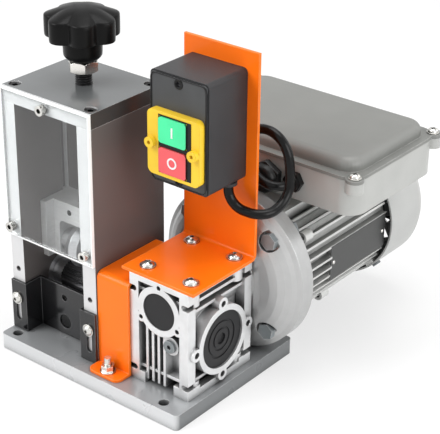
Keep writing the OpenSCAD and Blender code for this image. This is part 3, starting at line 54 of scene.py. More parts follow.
Socket = bpy.types.NodeSocket
ORIGIN: Point = (0.0, 0.0, 0.0)
# Turn in degrees that brings a piece made along Z to face the front
FORWARD: Point = (90.0, 0.0, 0.0)
# Distance below which two places are the same
CLOSE = 1e-5
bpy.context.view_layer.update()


class Grain(Enum):
    """How the surface of a finish is broken up."""

    CAST = "cast"
    BRUSHED = "brushed"
    MOULDED = "moulded"
    ENAMEL = "enamel"
    POLISHED = "polished"


@dataclass(frozen=True)
class GrainSize:
    """Scales of a grain, and how much it shows.

    Attributes:
        broad: Scale of the broad patches, per metre.
        fine: Scale of the fine grain, per metre.
        depth: Strength of the fine grain's relief.
        stretch: Scale along each axis.
    """

    broad: float
    fine: float
    depth: float
    stretch: Point = (1.0, 1.0, 1.0)


GRAINS: dict[Grain, GrainSize] = {
    Grain.CAST: GrainSize(60.0, 1400.0, 0.35),
    Grain.BRUSHED: GrainSize(90.0, 900.0, 0.12, (1.0, 1.0, 14.0)),
    Grain.MOULDED: GrainSize(40.0, 2600.0, 0.12),
    Grain.ENAMEL: GrainSize(25.0, 700.0, 0.05),
    Grain.POLISHED: GrainSize(35.0, 400.0, 0.02),
}
# Settings that all finishes share
COAT_ROUGHNESS = 0.08
BROAD_DETAIL = 3.0
FINE_DETAIL = 2.0
GRAIN_HEIGHT = 0.0004
TONE_RANGE = (0.3, 0.7)
GLOSS_SPREAD = (0.07, 0.09)
GLOSS_LIMITS = (0.03, 0.95)
EDGE_SAMPLES = 4
# Where the edges' mix of wear and painted highlight begins and ends
EDGE_WEAR_HIGHLIGHT_RANGE = (0.995, 0.9)
# Samples, reach and strength range of the painted shade in recesses
RECESS_SAMPLES = 6
RECESS_REACH = 0.012
RECESS_RANGE = (0.25, 0.75)


@dataclass(frozen=True)
class Finish:
    """A procedural finish of one material.

    Attributes:
        name: Name of the material.
        color: Main colour, linear.
        metallic: Share of metal.
        roughness: Middle roughness.
        grain: How the surface is broken up.
        coat: Weight of the clear coat.
        tone: How far the colour drops in its darker patches.
        edge: Radius of the softened edges in metres.
        edge_wear_and_highlight: Colour of the edges, partly real wear and partly a painted highlight, or
            None.
        spec: Level of the plain reflection.
        painted_side_shade: Colour painted on the faces that look sideways as their shade, or None.
        painted_front_light: Colour painted on the faces that look forwards or backwards as their light, or
            None.
        recess_shade: How far the recesses are darkened by painted shade.
    """

    name: str
    color: Point
    metallic: float = 0.0
    roughness: float = 0.4
    grain: Grain = Grain.MOULDED
    coat: float = 0.0
    tone: float = 0.12
    edge: float = 0.0004
    edge_wear_and_highlight: Point | None = None
    spec: float = 0.5
    painted_side_shade: Point | None = None
    painted_front_light: Point | None = None
    recess_shade: float = 0.0

    def make(self) -> bpy.types.Material:
        """Builds the material once.

        Returns:
            The material with its nodes.
        """
        if self.name in bpy.data.materials:
            return bpy.data.materials[self.name]
        material = bpy.data.materials.new(self.name)
        material.use_nodes = True
        tree = material.node_tree
        shader = tree.nodes["Principled BSDF"]
        shader.inputs["Metallic"].default_value = self.metallic
        shader.inputs["Coat Weight"].default_value = self.coat
        shader.inputs["Coat Roughness"].default_value = COAT_ROUGHNESS
        shader.inputs["Specular IOR Level"].default_value = self.spec
        size = GRAINS[self.grain]
        place = self._place(tree, size)
        broad = self._noise(tree, place, size.broad, BROAD_DETAIL)
        fine = self._noise(tree, place, size.fine, FINE_DETAIL)
        color = self._tones(tree, broad)
        # Sideways faces get a darker colour as painted shade, forward and backward faces a lighter one as
        # painted light
        if self.painted_side_shade is not None:
            color = self._facing(tree, color, "X", self.painted_side_shade)
        if self.painted_front_light is not None:
            color = self._facing(tree, color, "Y", self.painted_front_light)
        # Darkens recesses and places near other parts with an ambient occlusion node, as painted shade
        if self.recess_shade > 0.0:
            color = self._shade_recesses(tree, color)
        soft = tree.nodes.new("ShaderNodeBevel")
        soft.samples = EDGE_SAMPLES
        soft.inputs["Radius"].default_value = self.edge
        # Lightens the edges, partly as wear and partly as a painted highlight
        if self.edge_wear_and_highlight is not None:
            color = self._wear_and_highlight_edges(tree, soft, broad, color)
        tree.links.new(color, shader.inputs["Base Color"])
        spread = tree.nodes.new("ShaderNodeMapRange")
        spread.inputs["To Min"].default_value = max(self.roughness - GLOSS_SPREAD[0], GLOSS_LIMITS[0])
        spread.inputs["To Max"].default_value = min(self.roughness + GLOSS_SPREAD[1], GLOSS_LIMITS[1])
        tree.links.new(broad, spread.inputs["Value"])
        tree.links.new(spread.outputs["Result"], shader.inputs["Roughness"])
        bump = tree.nodes.new("ShaderNodeBump")
        bump.inputs["Strength"].default_value = size.depth
        bump.inputs["Distance"].default_value = GRAIN_HEIGHT
        tree.links.new(fine, bump.inputs["Height"])
        tree.links.new(soft.outputs["Normal"], bump.inputs["Normal"])
        tree.links.new(bump.outputs["Normal"], shader.inputs["Normal"])
        return material

    @staticmethod
    def _place(tree: Tree, size: GrainSize) -> Socket:
        """Object coordinates, stretched for a brushed grain.

        Args:
            tree: The material's nodes.
            size: The grain's scales.

        Returns:
            The coordinates.
        """
        where = tree.nodes.new("ShaderNodeTexCoord")
        mapping = tree.nodes.new("ShaderNodeMapping")
        mapping.inputs["Scale"].default_value = size.stretch
        tree.links.new(where.outputs["Object"], mapping.inputs["Vector"])
        return mapping.outputs["Vector"]

    @staticmethod
    def _noise(tree: Tree, place: Socket, scale: float, detail: float) -> Socket:
        """A noise in the finish.

        Args:
            tree: The material's nodes.
            place: The coordinates that it reads.
            scale: Its scale per metre.
            detail: Its detail.

        Returns:
            The noise.
        """
        noise = tree.nodes.new("ShaderNodeTexNoise")
        noise.inputs["Scale"].default_value = scale
        noise.inputs["Detail"].default_value = detail
        tree.links.new(place, noise.inputs["Vector"])
        return noise.outputs["Fac"]

    def _tones(self, tree: Tree, broad: Socket) -> Socket:
        """The colour between its darker and its lighter tone.

        Args:
            tree: The material's nodes.
            broad: Noise that sets the patches.

        Returns:
            The colour.
        """
        ramp = tree.nodes.new("ShaderNodeValToRGB")
        low, high = ramp.color_ramp.elements
        low.position, high.position = TONE_RANGE
        low.color = tuple(c * (1.0 - self.tone) for c in self.color) + (1.0,)
        high.color = tuple(min(c * (1.0 + self.tone), 1.0) for c in self.color) + (1.0,)
        tree.links.new(broad, ramp.inputs["Fac"])
        return ramp.outputs["Color"]

    @staticmethod
    def _blend(tree: Tree, share: Socket, color: Socket, other: Point) -> Socket:
        """A colour that gives way to another one.

        Args:
            tree: The material's nodes.
            share: How far it gives way.
            color: The colour.
            other: The other one.

        Returns:
            The mixed colour.
        """
        mix = tree.nodes.new("ShaderNodeMix")
        mix.data_type = "RGBA"
        tree.links.new(share, mix.inputs["Factor"])
        tree.links.new(color, mix.inputs["A"])
        mix.inputs["B"].default_value = (*other, 1.0)
        return mix.outputs["Result"]

    def _facing(self, tree: Tree, color: Socket, axis: str, other: Point) -> Socket:
        """The colour with the faces that look along an axis in another one, which paints light or shade on
        them by the way they face.

        Args:
            tree: The material's nodes.
            color: The colour of the other faces.
            axis: Name of the axis.
            other: The colour of the faces along it.

        Returns:
            The mixed colour.
        """
        flat = tree.nodes.new("ShaderNodeNewGeometry")
        parts = tree.nodes.new("ShaderNodeSeparateXYZ")
        tree.links.new(flat.outputs["Normal"], parts.inputs["Vector"])
        side = tree.nodes.new("ShaderNodeMath")
        side.operation = "ABSOLUTE"
        tree.links.new(parts.outputs[axis], side.inputs[0])
        return self._blend(tree, side.outputs["Value"], color, other)

    def _shade_recesses(self, tree: Tree, color: Socket) -> Socket:
        """The colour with its recesses, and the places close to other parts, darkened as painted shade.

        Args:
            tree: The material's nodes.
            color: The colour outside the recesses.

        Returns:
            The darkened colour.
        """
        depth = tree.nodes.new("ShaderNodeAmbientOcclusion")
        depth.samples = RECESS_SAMPLES
        depth.inputs["Distance"].default_value = RECESS_REACH
        dark = tree.nodes.new("ShaderNodeMapRange")
        dark.inputs["From Min"].default_value = RECESS_RANGE[0]
        dark.inputs["From Max"].default_value = RECESS_RANGE[1]
        dark.inputs["To Min"].default_value = 1.0 - self.recess_shade
        tree.links.new(depth.outputs["AO"], dark.inputs["Value"])
        shade = tree.nodes.new("ShaderNodeVectorMath")
        shade.operation = "SCALE"
        tree.links.new(color, shade.inputs["Vector"])
        tree.links.new(dark.outputs["Result"], shade.inputs["Scale"])
        return shade.outputs["Vector"]

    def _wear_and_highlight_edges(self, tree: Tree, soft: bpy.types.Node, broad: Socket, color: Socket) -> Socket:
        """The colour with its edges mixed to another, which is partly wear and partly a painted highlight.

        Args:
            tree: The material's nodes.
            soft: The node that rounds the edges.
            broad: Noise that breaks the lighter edges up.
            color: The colour away from the edges.

        Returns:
            The mixed colour.
        """
        flat = tree.nodes.new("ShaderNodeNewGeometry")
        dot = tree.nodes.new("ShaderNodeVectorMath")
        dot.operation = "DOT_PRODUCT"
        tree.links.new(soft.outputs["Normal"], dot.inputs[0])
        tree.links.new(flat.outputs["Normal"], dot.inputs[1])
        edge_share = tree.nodes.new("ShaderNodeMapRange")
        edge_share.inputs["From Min"].default_value = EDGE_WEAR_HIGHLIGHT_RANGE[0]
        edge_share.inputs["From Max"].default_value = EDGE_WEAR_HIGHLIGHT_RANGE[1]
        tree.links.new(dot.outputs["Value"], edge_share.inputs["Value"])
        patch = tree.nodes.new("ShaderNodeMath")
        patch.operation = "MULTIPLY"
        tree.links.new(edge_share.outputs["Result"], patch.inputs[0])
        tree.links.new(broad, patch.inputs[1])
        return self._blend(tree, patch.outputs["Value"], color, self.edge_wear_and_highlight)


@dataclass(frozen=True)
class ClearSheet:
    """Clear acrylic with a faint haze.

    Attributes:
        name: Name of the material.
        roughness: Middle roughness of the haze.
        haze: Least and greatest roughness as shares of the middle one.
        patches: Scale of the haze, per metre.
        tint: Colour of the acrylic, linear.
        bend: Index of refraction.
    """

    name: str = "shield_acrylic"
    roughness: float = 0.004
    haze: tuple[float, float] = (0.4, 1.6)
    patches: float = 30.0
    tint: Point = (0.96, 0.98, 0.98)
    bend: float = 1.4

    def make(self) -> bpy.types.Material:
        """Builds the material once.

        Returns:
            The material with its nodes.
        """
        if self.name in bpy.data.materials:
            return bpy.data.materials[self.name]
        material = bpy.data.materials.new(self.name)
        material.use_nodes = True
        tree = material.node_tree
        shader = tree.nodes["Principled BSDF"]
        shader.inputs["Base Color"].default_value = (*self.tint, 1.0)
        shader.inputs["Transmission Weight"].default_value = 1.0
        shader.inputs["IOR"].default_value = self.bend
        where = tree.nodes.new("ShaderNodeTexCoord")
        noise = tree.nodes.new("ShaderNodeTexNoise")
        noise.inputs["Scale"].default_value = self.patches
        haze = tree.nodes.new("ShaderNodeMapRange")
        haze.inputs["To Min"].default_value = self.roughness * self.haze[0]
        haze.inputs["To Max"].default_value = self.roughness * self.haze[1]
        tree.links.new(where.outputs["Object"], noise.inputs["Vector"])
        tree.links.new(noise.outputs["Fac"], haze.inputs["Value"])
        tree.links.new(haze.outputs["Result"], shader.inputs["Roughness"])
        clear = tree.nodes.new("ShaderNodeBsdfTransparent")
        path = tree.nodes.new("ShaderNodeLightPath")
        pick = tree.nodes.new("ShaderNodeMixShader")
        tree.links.new(path.outputs["Is Shadow Ray"], pick.inputs["Fac"])
        tree.links.new(shader.outputs["BSDF"], pick.inputs[1])
        tree.links.new(clear.outputs["BSDF"], pick.inputs[2])
        tree.links.new(pick.outputs["Shader"], tree.nodes["Material Output"].inputs["Surface"])
        return material


# Several finishes below paint shade on sideways faces, light on forward faces, shade in recesses, and
# highlights with the wear on edges
PLATE_STEEL = Finish(
    "plate_steel", (0.3, 0.309, 0.317), metallic=0.2, roughness=0.28, grain=Grain.ENAMEL, tone=0.05,
    edge=0.0006, edge_wear_and_highlight=(0.75, 0.75, 0.75), spec=0.4, painted_side_shade=(0.17, 0.178, 0.182), painted_front_light=(0.6, 0.61, 0.62),
    recess_shade=0.85)
WALL_STEEL = Finish(
    "wall_steel", (0.62, 0.62, 0.625), metallic=0.1, roughness=0.36, grain=Grain.ENAMEL, tone=0.03,
    edge=0.0006, edge_wear_and_highlight=(0.85, 0.85, 0.85), spec=0.3, painted_side_shade=(0.12, 0.108, 0.105))
TOP_STEEL = Finish(
    "top_steel", (0.15, 0.157, 0.16), metallic=0.2, roughness=0.21, grain=Grain.POLISHED, coat=0.1,
    tone=0.05, edge=0.0006, edge_wear_and_highlight=(0.8, 0.8, 0.8), spec=0.4, painted_side_shade=(0.07, 0.064, 0.062),
    painted_front_light=(0.62, 0.62, 0.625))
ACRYLIC = ClearSheet()
BLACK_GLOSS = Finish(
    "black_gloss", (0.011, 0.011, 0.012), roughness=0.14, grain=Grain.POLISHED, tone=0.2, edge=0.0008,
    edge_wear_and_highlight=(0.35, 0.35, 0.36))
ZINC = Finish(
    "bright_zinc", (0.66, 0.65, 0.62), metallic=1.0, roughness=0.24, grain=Grain.POLISHED, tone=0.1,
    edge=0.0003, recess_shade=0.85)
BOLT_STEEL = Finish(
    "bolt_steel", (0.17, 0.19, 0.197), metallic=0.1, roughness=0.38, grain=Grain.POLISHED, edge=0.0006,
    edge_wear_and_highlight=(0.8, 0.8, 0.8), recess_shade=0.7)
GROUND_STEEL = Finish("ground_steel", (0.5, 0.5, 0.51), metallic=0.9, roughness=0.32, grain=Grain.BRUSHED)
YOKE_STEEL = Finish(
    "yoke_steel", (0.6, 0.6, 0.6), metallic=0.5, roughness=0.34, grain=Grain.BRUSHED, tone=0.08,
    edge=0.0005)
BLACK_OXIDE = Finish(
    "black_oxide", (0.012, 0.012, 0.013), metallic=0.3, roughness=0.3, grain=Grain.POLISHED, tone=0.25,
    edge=0.0003, edge_wear_and_highlight=(0.1, 0.1, 0.1), spec=0.35)
KNOB_BLACK = Finish("knob_black", (0.004, 0.004, 0.004), roughness=0.3, tone=0.2, edge=0.0006, spec=0.12)
ROLLER_BLACK = Finish(
    "roller_black", (0.07, 0.07, 0.074), metallic=0.8, roughness=0.16, grain=Grain.POLISHED, tone=0.1,
    edge=0.0003, edge_wear_and_highlight=(0.5, 0.5, 0.5))
NICKEL = Finish(
    "nickel", (0.78, 0.76, 0.72), metallic=1.0, roughness=0.18, grain=Grain.POLISHED, tone=0.06,
    edge=0.0005)
CAST_METAL = Finish(
    "cast_metal", (0.7, 0.705, 0.71), metallic=0.55, roughness=0.34, grain=Grain.CAST, tone=0.08,
    edge=0.0007, edge_wear_and_highlight=(0.95, 0.95, 0.95), recess_shade=0.85)
SEAL_BLACK = Finish("seal_black", (0.006, 0.006, 0.006), roughness=0.36, tone=0.2, spec=0.25)
CAP_GREY = Finish("cap_grey", (0.012, 0.012, 0.013), roughness=0.45, spec=0.3)
BRONZE = Finish("wheel_bronze", (0.6, 0.36, 0.14), metallic=1.0, roughness=0.3, grain=Grain.BRUSHED)
MOTOR_GREY = Finish(
    "motor_grey", (0.62, 0.625, 0.61), metallic=0.5, roughness=0.34, grain=Grain.CAST, tone=0.06,
    edge=0.0006, edge_wear_and_highlight=(0.8, 0.8, 0.78), recess_shade=0.75)
FLANGE_GREY = Finish(
    "flange_grey", (0.48, 0.482, 0.48), metallic=0.75, roughness=0.34, grain=Grain.CAST, tone=0.05,
    edge=0.0008, recess_shade=0.3)
CORE_STEEL = Finish("laminated_core", (0.2, 0.18, 0.17), metallic=0.7, roughness=0.5, grain=Grain.BRUSHED)
COWL_GREY = Finish(
    "cowl_grey", (0.43, 0.435, 0.425), metallic=0.1, roughness=0.34, grain=Grain.ENAMEL, tone=0.04,
    edge=0.0006)
BOX_GREY = Finish(
    "box_grey", (0.4, 0.405, 0.39), metallic=0.1, roughness=0.34, tone=0.05, edge=0.001,
    edge_wear_and_highlight=(0.6, 0.6, 0.58))
LID_GREY = Finish(
    "lid_grey", (0.2, 0.203, 0.192), metallic=0.12, roughness=0.44, tone=0.05, edge=0.001,
    edge_wear_and_highlight=(0.5, 0.5, 0.48), spec=0.4)
FROSTED = Finish("frosted_edge", (0.85, 0.86, 0.86), roughness=0.5, tone=0.03, edge=0.0002)
CHARCOAL = Finish("charcoal", (0.026, 0.026, 0.028), tone=0.15, edge=0.0008, spec=0.3)
COVER_GREY = Finish("cover_grey", (0.058, 0.06, 0.062), roughness=0.42, tone=0.1, edge=0.0005, spec=0.3)
YELLOW = Finish("yellow_moulding", (0.8, 0.53, 0.03), roughness=0.3, tone=0.06, edge=0.0008, spec=0.3)
GREEN = Finish(
    "green_moulding", (0.05, 0.72, 0.31), roughness=0.22, coat=0.1, tone=0.06, edge=0.0006, spec=0.4,
    painted_side_shade=(0.02, 0.05, 0.035))
RED = Finish(
    "red_moulding", (0.74, 0.09, 0.1), roughness=0.22, coat=0.1, tone=0.06, edge=0.0006, spec=0.4,
    painted_side_shade=(0.07, 0.02, 0.02))
ORANGE = Finish(
    "orange_enamel", (1.0, 0.17, 0.005), roughness=0.3, grain=Grain.ENAMEL, coat=0.08, tone=0.04,
    edge=0.0012, edge_wear_and_highlight=(1.0, 0.45, 0.15), spec=0.2)
PLATE = Finish(
    "satin_plate", (0.06, 0.061, 0.06), metallic=0.4, roughness=0.34, grain=Grain.BRUSHED, tone=0.08,
    edge=0.0002)
CABLE = Finish("cable_black", (0.003, 0.003, 0.003), roughness=0.24, tone=0.2, edge=0.0002, spec=0.2)
MARK_WHITE = Finish("mark_white", (0.75, 0.75, 0.75), tone=0.03, edge=0.0001)


def dress(finish: Finish | ClearSheet, *nodes: str) -> None:
    """Gives solids a finish.

    Args:
        finish: The finish.
        nodes: Names of the solids.
    """
    material = finish.make()
    for node in nodes:
        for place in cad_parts[node].material_slots:
            place.material = material
        LOG.info("%s has %s", node, finish.name)


def settle(piece: Piece, name: str, finish: Finish | ClearSheet, body: str, *nodes: str) -> None:
    """Names a finished piece, gives it its finish and hangs it on its body.

    Args:
        piece: The finished object.
        name: Name of the piece.
        finish: Its finish.
        body: The body that it rides on.
        nodes: Solids that it stands for.
    """
    piece.name = name
    piece.data.materials.clear()
    piece.data.materials.append(finish.make())
    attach(piece, body)
    if nodes:
        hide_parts(*nodes)
    LOG.info("%s rides on %s", name, body)


class Part(Enum):
    """What a selection in edit mode is made of."""

    FACES = "FACE"
    EDGES = "EDGE"


def leave_edit() -> None:
    """Leaves edit mode."""
    if bpy.context.object is not None and bpy.context.object.mode != "OBJECT":
        bpy.ops.object.mode_set(mode="OBJECT")


def choose(*pieces: Piece) -> None:
    """Selects the given meshes and no others, with the first as the active one.

    Args:
        pieces: The meshes, or none.
    """
    leave_edit()
    bpy.ops.object.select_all(action="DESELECT")
    for piece in pieces:
        piece.select_set(True)
    if pieces:
        bpy.context.view_layer.objects.active = pieces[0]


def pick(part: Part, test: Callable[[Vector, Vector], bool]) -> None:
    """Selects faces or edges of the active mesh in edit mode.

    Args:
        part: What is selected.
        test: Takes a face's centre and normal, or an edge's two ends, and says whether it is wanted.
    """
    mesh = bpy.context.object.data
    bpy.ops.object.mode_set(mode="EDIT")
    bpy.ops.mesh.select_mode(type=part.value)
    bpy.ops.mesh.select_all(action="DESELECT")
    bpy.ops.object.mode_set(mode="OBJECT")
    if part is Part.FACES:
        for face in mesh.polygons:
            face.select = test(face.center, face.normal)
    else:
        for edge in mesh.edges:
            edge.select = test(*(mesh.vertices[i].co for i in edge.vertices))
    bpy.ops.object.mode_set(mode="EDIT")


def runs_back(a: Vector, b: Vector) -> bool:
    """Whether an edge with these two ends runs straight from front to back."""
    return abs(a.x - b.x) < CLOSE and abs(a.z - b.z) < CLOSE


def halfway(low: Point, high: Point) -> Point:
    """The middle between two corners."""
    return tuple((a + b) / 2 for a, b in zip(low, high))


def modify(kind: str, **settings: object) -> None:
    """Adds a modifier to the active mesh and applies it.

    Args:
        kind: Type of the modifier.
        settings: Its settings.
    """
    leave_edit()
    modifier = bpy.context.object.modifiers.new(kind.lower(), kind)
    for name, value in settings.items():
        setattr(modifier, name, value)
    bpy.ops.object.modifier_apply(modifier=modifier.name)


def chamfer(width: float, segments: int, angle: float) -> None:
    """Rounds the edges of the active mesh that are sharper than an angle in degrees."""
    modify("BEVEL", width=width, segments=segments, limit_method="ANGLE", angle_limit=math.radians(angle))


def smooth(angle: float) -> None:
    """Smooths the shading of the selected mesh below an angle in degrees."""
    bpy.ops.object.shade_smooth_by_angle(angle=math.radians(angle))


def soften(width: float, segments: int = 2, angle: float = 30.0) -> None:
    """Rounds the sharp edges of the active mesh and smooths its shading, with the flat faces kept flat.

    Args:
        width: Width of the rounding.
        segments: Number of its facets.
        angle: Least angle of a sharp edge in degrees.
    """
    chamfer(width, segments, angle)
    smooth(angle)
    modify("WEIGHTED_NORMAL", mode="FACE_AREA", weight=100, keep_sharp=True)


def set_down(place: Point, turn: Point = (0.0, 0.0, 0.0)) -> Piece:
    """Turns and moves the active mesh to its place, with the place in its points.

    Args:
        place: Where its origin goes.
        turn: Rotation about X, Y and Z in degrees.

    Returns:
        The piece.
    """
    leave_edit()
    piece = bpy.context.object
    piece.rotation_euler = [math.radians(angle) for angle in turn]
    piece.location = place
    bpy.ops.object.transform_apply(location=True, rotation=True, scale=True)
    return piece


def turned(rings: list[Ring], sides: int = 64) -> Piece:
    """Turns a solid about Z from its rings, by extruding a disc and resizing it.

    Args:
        rings: Height and radius of each ring, from the lowest to the last.
        sides: Number of points round it.

    Returns:
        The solid.
    """
    choose()
    height, radius = rings[0]
    bpy.ops.mesh.primitive_circle_add(vertices=sides, radius=radius, fill_type="NGON", location=ORIGIN)
    bpy.ops.object.mode_set(mode="EDIT")
    bpy.ops.mesh.select_mode(type="FACE")
    bpy.ops.mesh.select_all(action="SELECT")
    bpy.ops.transform.translate(value=(0.0, 0.0, height))
    for upper, wider in rings[1:]:
        bpy.ops.mesh.extrude_region_move(TRANSFORM_OT_translate={"value": (0.0, 0.0, upper - height)})
        share = wider / radius
        bpy.ops.transform.resize(value=(share, share, 1.0), center_override=(0.0, 0.0, upper))
        height, radius = upper, wider
    bpy.ops.mesh.select_all(action="SELECT")
    bpy.ops.mesh.normals_make_consistent(inside=False)
    bpy.ops.object.mode_set(mode="OBJECT")
    return bpy.context.object


def bar(size: Point, middle: Point) -> Piece:
    """A block of a size round a middle, as a start for shaping.

    Args:
        size: Its three sides.
        middle: Its middle.

    Returns:
        The block.
    """
    choose()
    bpy.ops.mesh.primitive_cube_add(size=1.0, location=ORIGIN)
    bpy.ops.object.mode_set(mode="EDIT")
    bpy.ops.mesh.select_all(action="SELECT")
    bpy.ops.transform.resize(value=size)
    bpy.ops.transform.translate(value=middle)
    bpy.ops.object.mode_set(mode="OBJECT")
    return bpy.context.object


def carve(piece: Piece, cutter: Piece) -> None:
    """Cuts one mesh with another, which is used up.

    Args:
        piece: The mesh that is cut.
        cutter: The mesh that cuts it.
    """
    choose(piece)
    modify("BOOLEAN", object=cutter, operation="DIFFERENCE", solver="EXACT")
    bpy.data.objects.remove(cutter)


def merged(*pieces: Piece) -> Piece:
    """Joins meshes.

    Args:
        pieces: The meshes.

    Returns:
        The first of them, which holds them all.
    """
    choose(*pieces)
    bpy.ops.object.join()
    return pieces[0]


def copied(piece: Piece, shift: Point) -> Piece:
    """Copies a mesh.

    Args:
        piece: The mesh.
        shift: How far the copy is moved.

    Returns:
        The copy, with its own mesh.
    """
    choose(piece)
    bpy.ops.object.duplicate()
    return set_down(shift)


@dataclass
class Studio:
    """Camera, floor and light.

    Attributes:
        eye: Where the camera stands.
        forward: The photograph's own viewing direction.
        right: Its direction to the right.
        focal_px: Focal length in pixels of the photograph.
        image_px: Width of the photograph in pixels.
        offset_px: From the optical axis to the middle of the frame, in pixels.
        sensor: Width of the camera's sensor in millimetres.
        floor_half: Half of the floor's side.
        floor_tone: Brightness of the floor.
        floor_glow: How far the floor shows as white.
        world_light: Strength of the light from all round.
        target: What the lamps are aimed at.
    """

    eye: Point = (0.7030, -0.7879, 0.6677)
    forward: Point = (-0.58302, 0.68841, -0.43149)
    right: Point = (0.76365, 0.64563, -0.00178)
    focal_px: float = 1450.0
    image_px: float = 440.0
    offset_px: tuple[float, float] = (41.7, 39.5)
    sensor: float = 36.0
    floor_half: float = 6.0
    floor_tone: float = 0.9
    floor_glow: float = 0.6
    world_light: float = 0.45
    target: Point = (0.0, 0.0, 0.12)

    def build(self) -> None:
        """Sets up the whole studio, with lamps at the front left, above, at the right and behind."""
        self._camera()
        self._floor()
        self._world()
        self._soft_box("key", (-1.1, -1.5, 1.5), size=1.4, power=38.0)
        self._soft_box("top", (0.1, 0.2, 1.9), size=1.2, power=19.0)
        self._soft_box("side", (1.5, -0.1, 0.7), size=1.0, power=13.0)
        self._soft_box("back", (0.9, 1.5, 1.0), size=1.0, power=4.0)

    def _camera(self) -> None:
        """Puts the camera where the photograph was taken, aimed through the middle of its frame."""
        ahead = Vector(self.forward).normalized()
        side = Vector(self.right).normalized()
        top = side.cross(ahead).normalized()
        aim = (ahead * self.focal_px + side * self.offset_px[0] - top * self.offset_px[1]).normalized()
        side = (side - aim * side.dot(aim)).normalized()
        top = side.cross(aim)
        turn = Matrix((side, top, -aim)).transposed().to_4x4()
        data = bpy.data.cameras.new("camera")
        data.sensor_width = self.sensor
        data.lens = math.hypot(self.focal_px, *self.offset_px) * self.sensor / self.image_px
        data.clip_end = 30.0
        camera = bpy.data.objects.new("camera", data)
        camera.matrix_world = Matrix.Translation(self.eye) @ turn
        bpy.context.collection.objects.link(camera)
        bpy.context.scene.camera = camera

    def _floor(self) -> None:
        """A pale floor that shows white and keeps the shadow."""
        choose()
        bpy.ops.mesh.primitive_plane_add(size=2 * self.floor_half, location=(0.0, 0.0, -0.0004))
        floor = bpy.context.object
        floor.name = "floor"
        material = bpy.data.materials.new("pale_floor")
        material.use_nodes = True
        tree = material.node_tree
        shader = tree.nodes["Principled BSDF"]
        shader.inputs["Base Color"].default_value = (self.floor_tone, self.floor_tone, self.floor_tone, 1.0)
        shader.inputs["Roughness"].default_value = 0.9
        shader.inputs["Specular IOR Level"].default_value = 0.1
        glow = tree.nodes.new("ShaderNodeEmission")
        mix = tree.nodes.new("ShaderNodeMixShader")
        share = tree.nodes.new("ShaderNodeMath")
        share.operation = "MULTIPLY"
        share.inputs[1].default_value = self.floor_glow
        tree.links.new(self._seen(tree), share.inputs[0])
        tree.links.new(share.outputs["Value"], mix.inputs["Fac"])
        tree.links.new(shader.outputs["BSDF"], mix.inputs[1])
        tree.links.new(glow.outputs["Emission"], mix.inputs[2])
        tree.links.new(mix.outputs["Shader"], tree.nodes["Material Output"].inputs["Surface"])
        floor.data.materials.append(material)

    @staticmethod
    def _seen(tree: Tree) -> Socket:
        """Tells the rays that see a surface from those that only light it.

        Args:
            tree: The nodes of a material or of the world.

        Returns:
            One for camera, glossy and transmission rays, else zero.
        """
        path = tree.nodes.new("ShaderNodeLightPath")
        seen = path.outputs["Is Camera Ray"]
        for ray in ("Is Glossy Ray", "Is Transmission Ray"):
            either = tree.nodes.new("ShaderNodeMath")
            either.operation = "MAXIMUM"
            tree.links.new(seen, either.inputs[0])
            tree.links.new(path.outputs[ray], either.inputs[1])
            seen = either.outputs["Value"]
        return seen

    def _world(self) -> None:
        """White where it is seen, and a softer light elsewhere."""
        world = bpy.data.worlds.new("studio")
        bpy.context.scene.world = world
        world.use_nodes = True
        tree = world.node_tree
        shown = tree.nodes["Background"]
        shown.inputs["Color"].default_value = (1.0, 1.0, 1.0, 1.0)
        light = tree.nodes.new("ShaderNodeBackground")
        light.inputs["Color"].default_value = (1.0, 1.0, 1.0, 1.0)
        light.inputs["Strength"].default_value = self.world_light
        mix = tree.nodes.new("ShaderNodeMixShader")
        tree.links.new(self._seen(tree), mix.inputs["Fac"])
        tree.links.new(light.outputs["Background"], mix.inputs[1])
        tree.links.new(shown.outputs["Background"], mix.inputs[2])
        tree.links.new(mix.outputs["Shader"], tree.nodes["World Output"].inputs["Surface"])
        bpy.context.scene.view_settings.view_transform = "Standard"

    def _soft_box(self, name: str, place: Point, size: float, power: float) -> None:
        """One square lamp aimed at the machine.

        Args:
            name: Name of the lamp.
            place: Where it stands.
            size: Length of its side.
            power: Its power in watts.
        """
        data = bpy.data.lights.new(name, "AREA")
        data.size = size
        data.energy = power
        lamp = bpy.data.objects.new(name, data)
        lamp.location = place
        aim = Vector(self.target) - Vector(place)
        lamp.rotation_euler = aim.to_track_quat("-Z", "Y").to_euler()
        bpy.context.collection.objects.link(lamp)


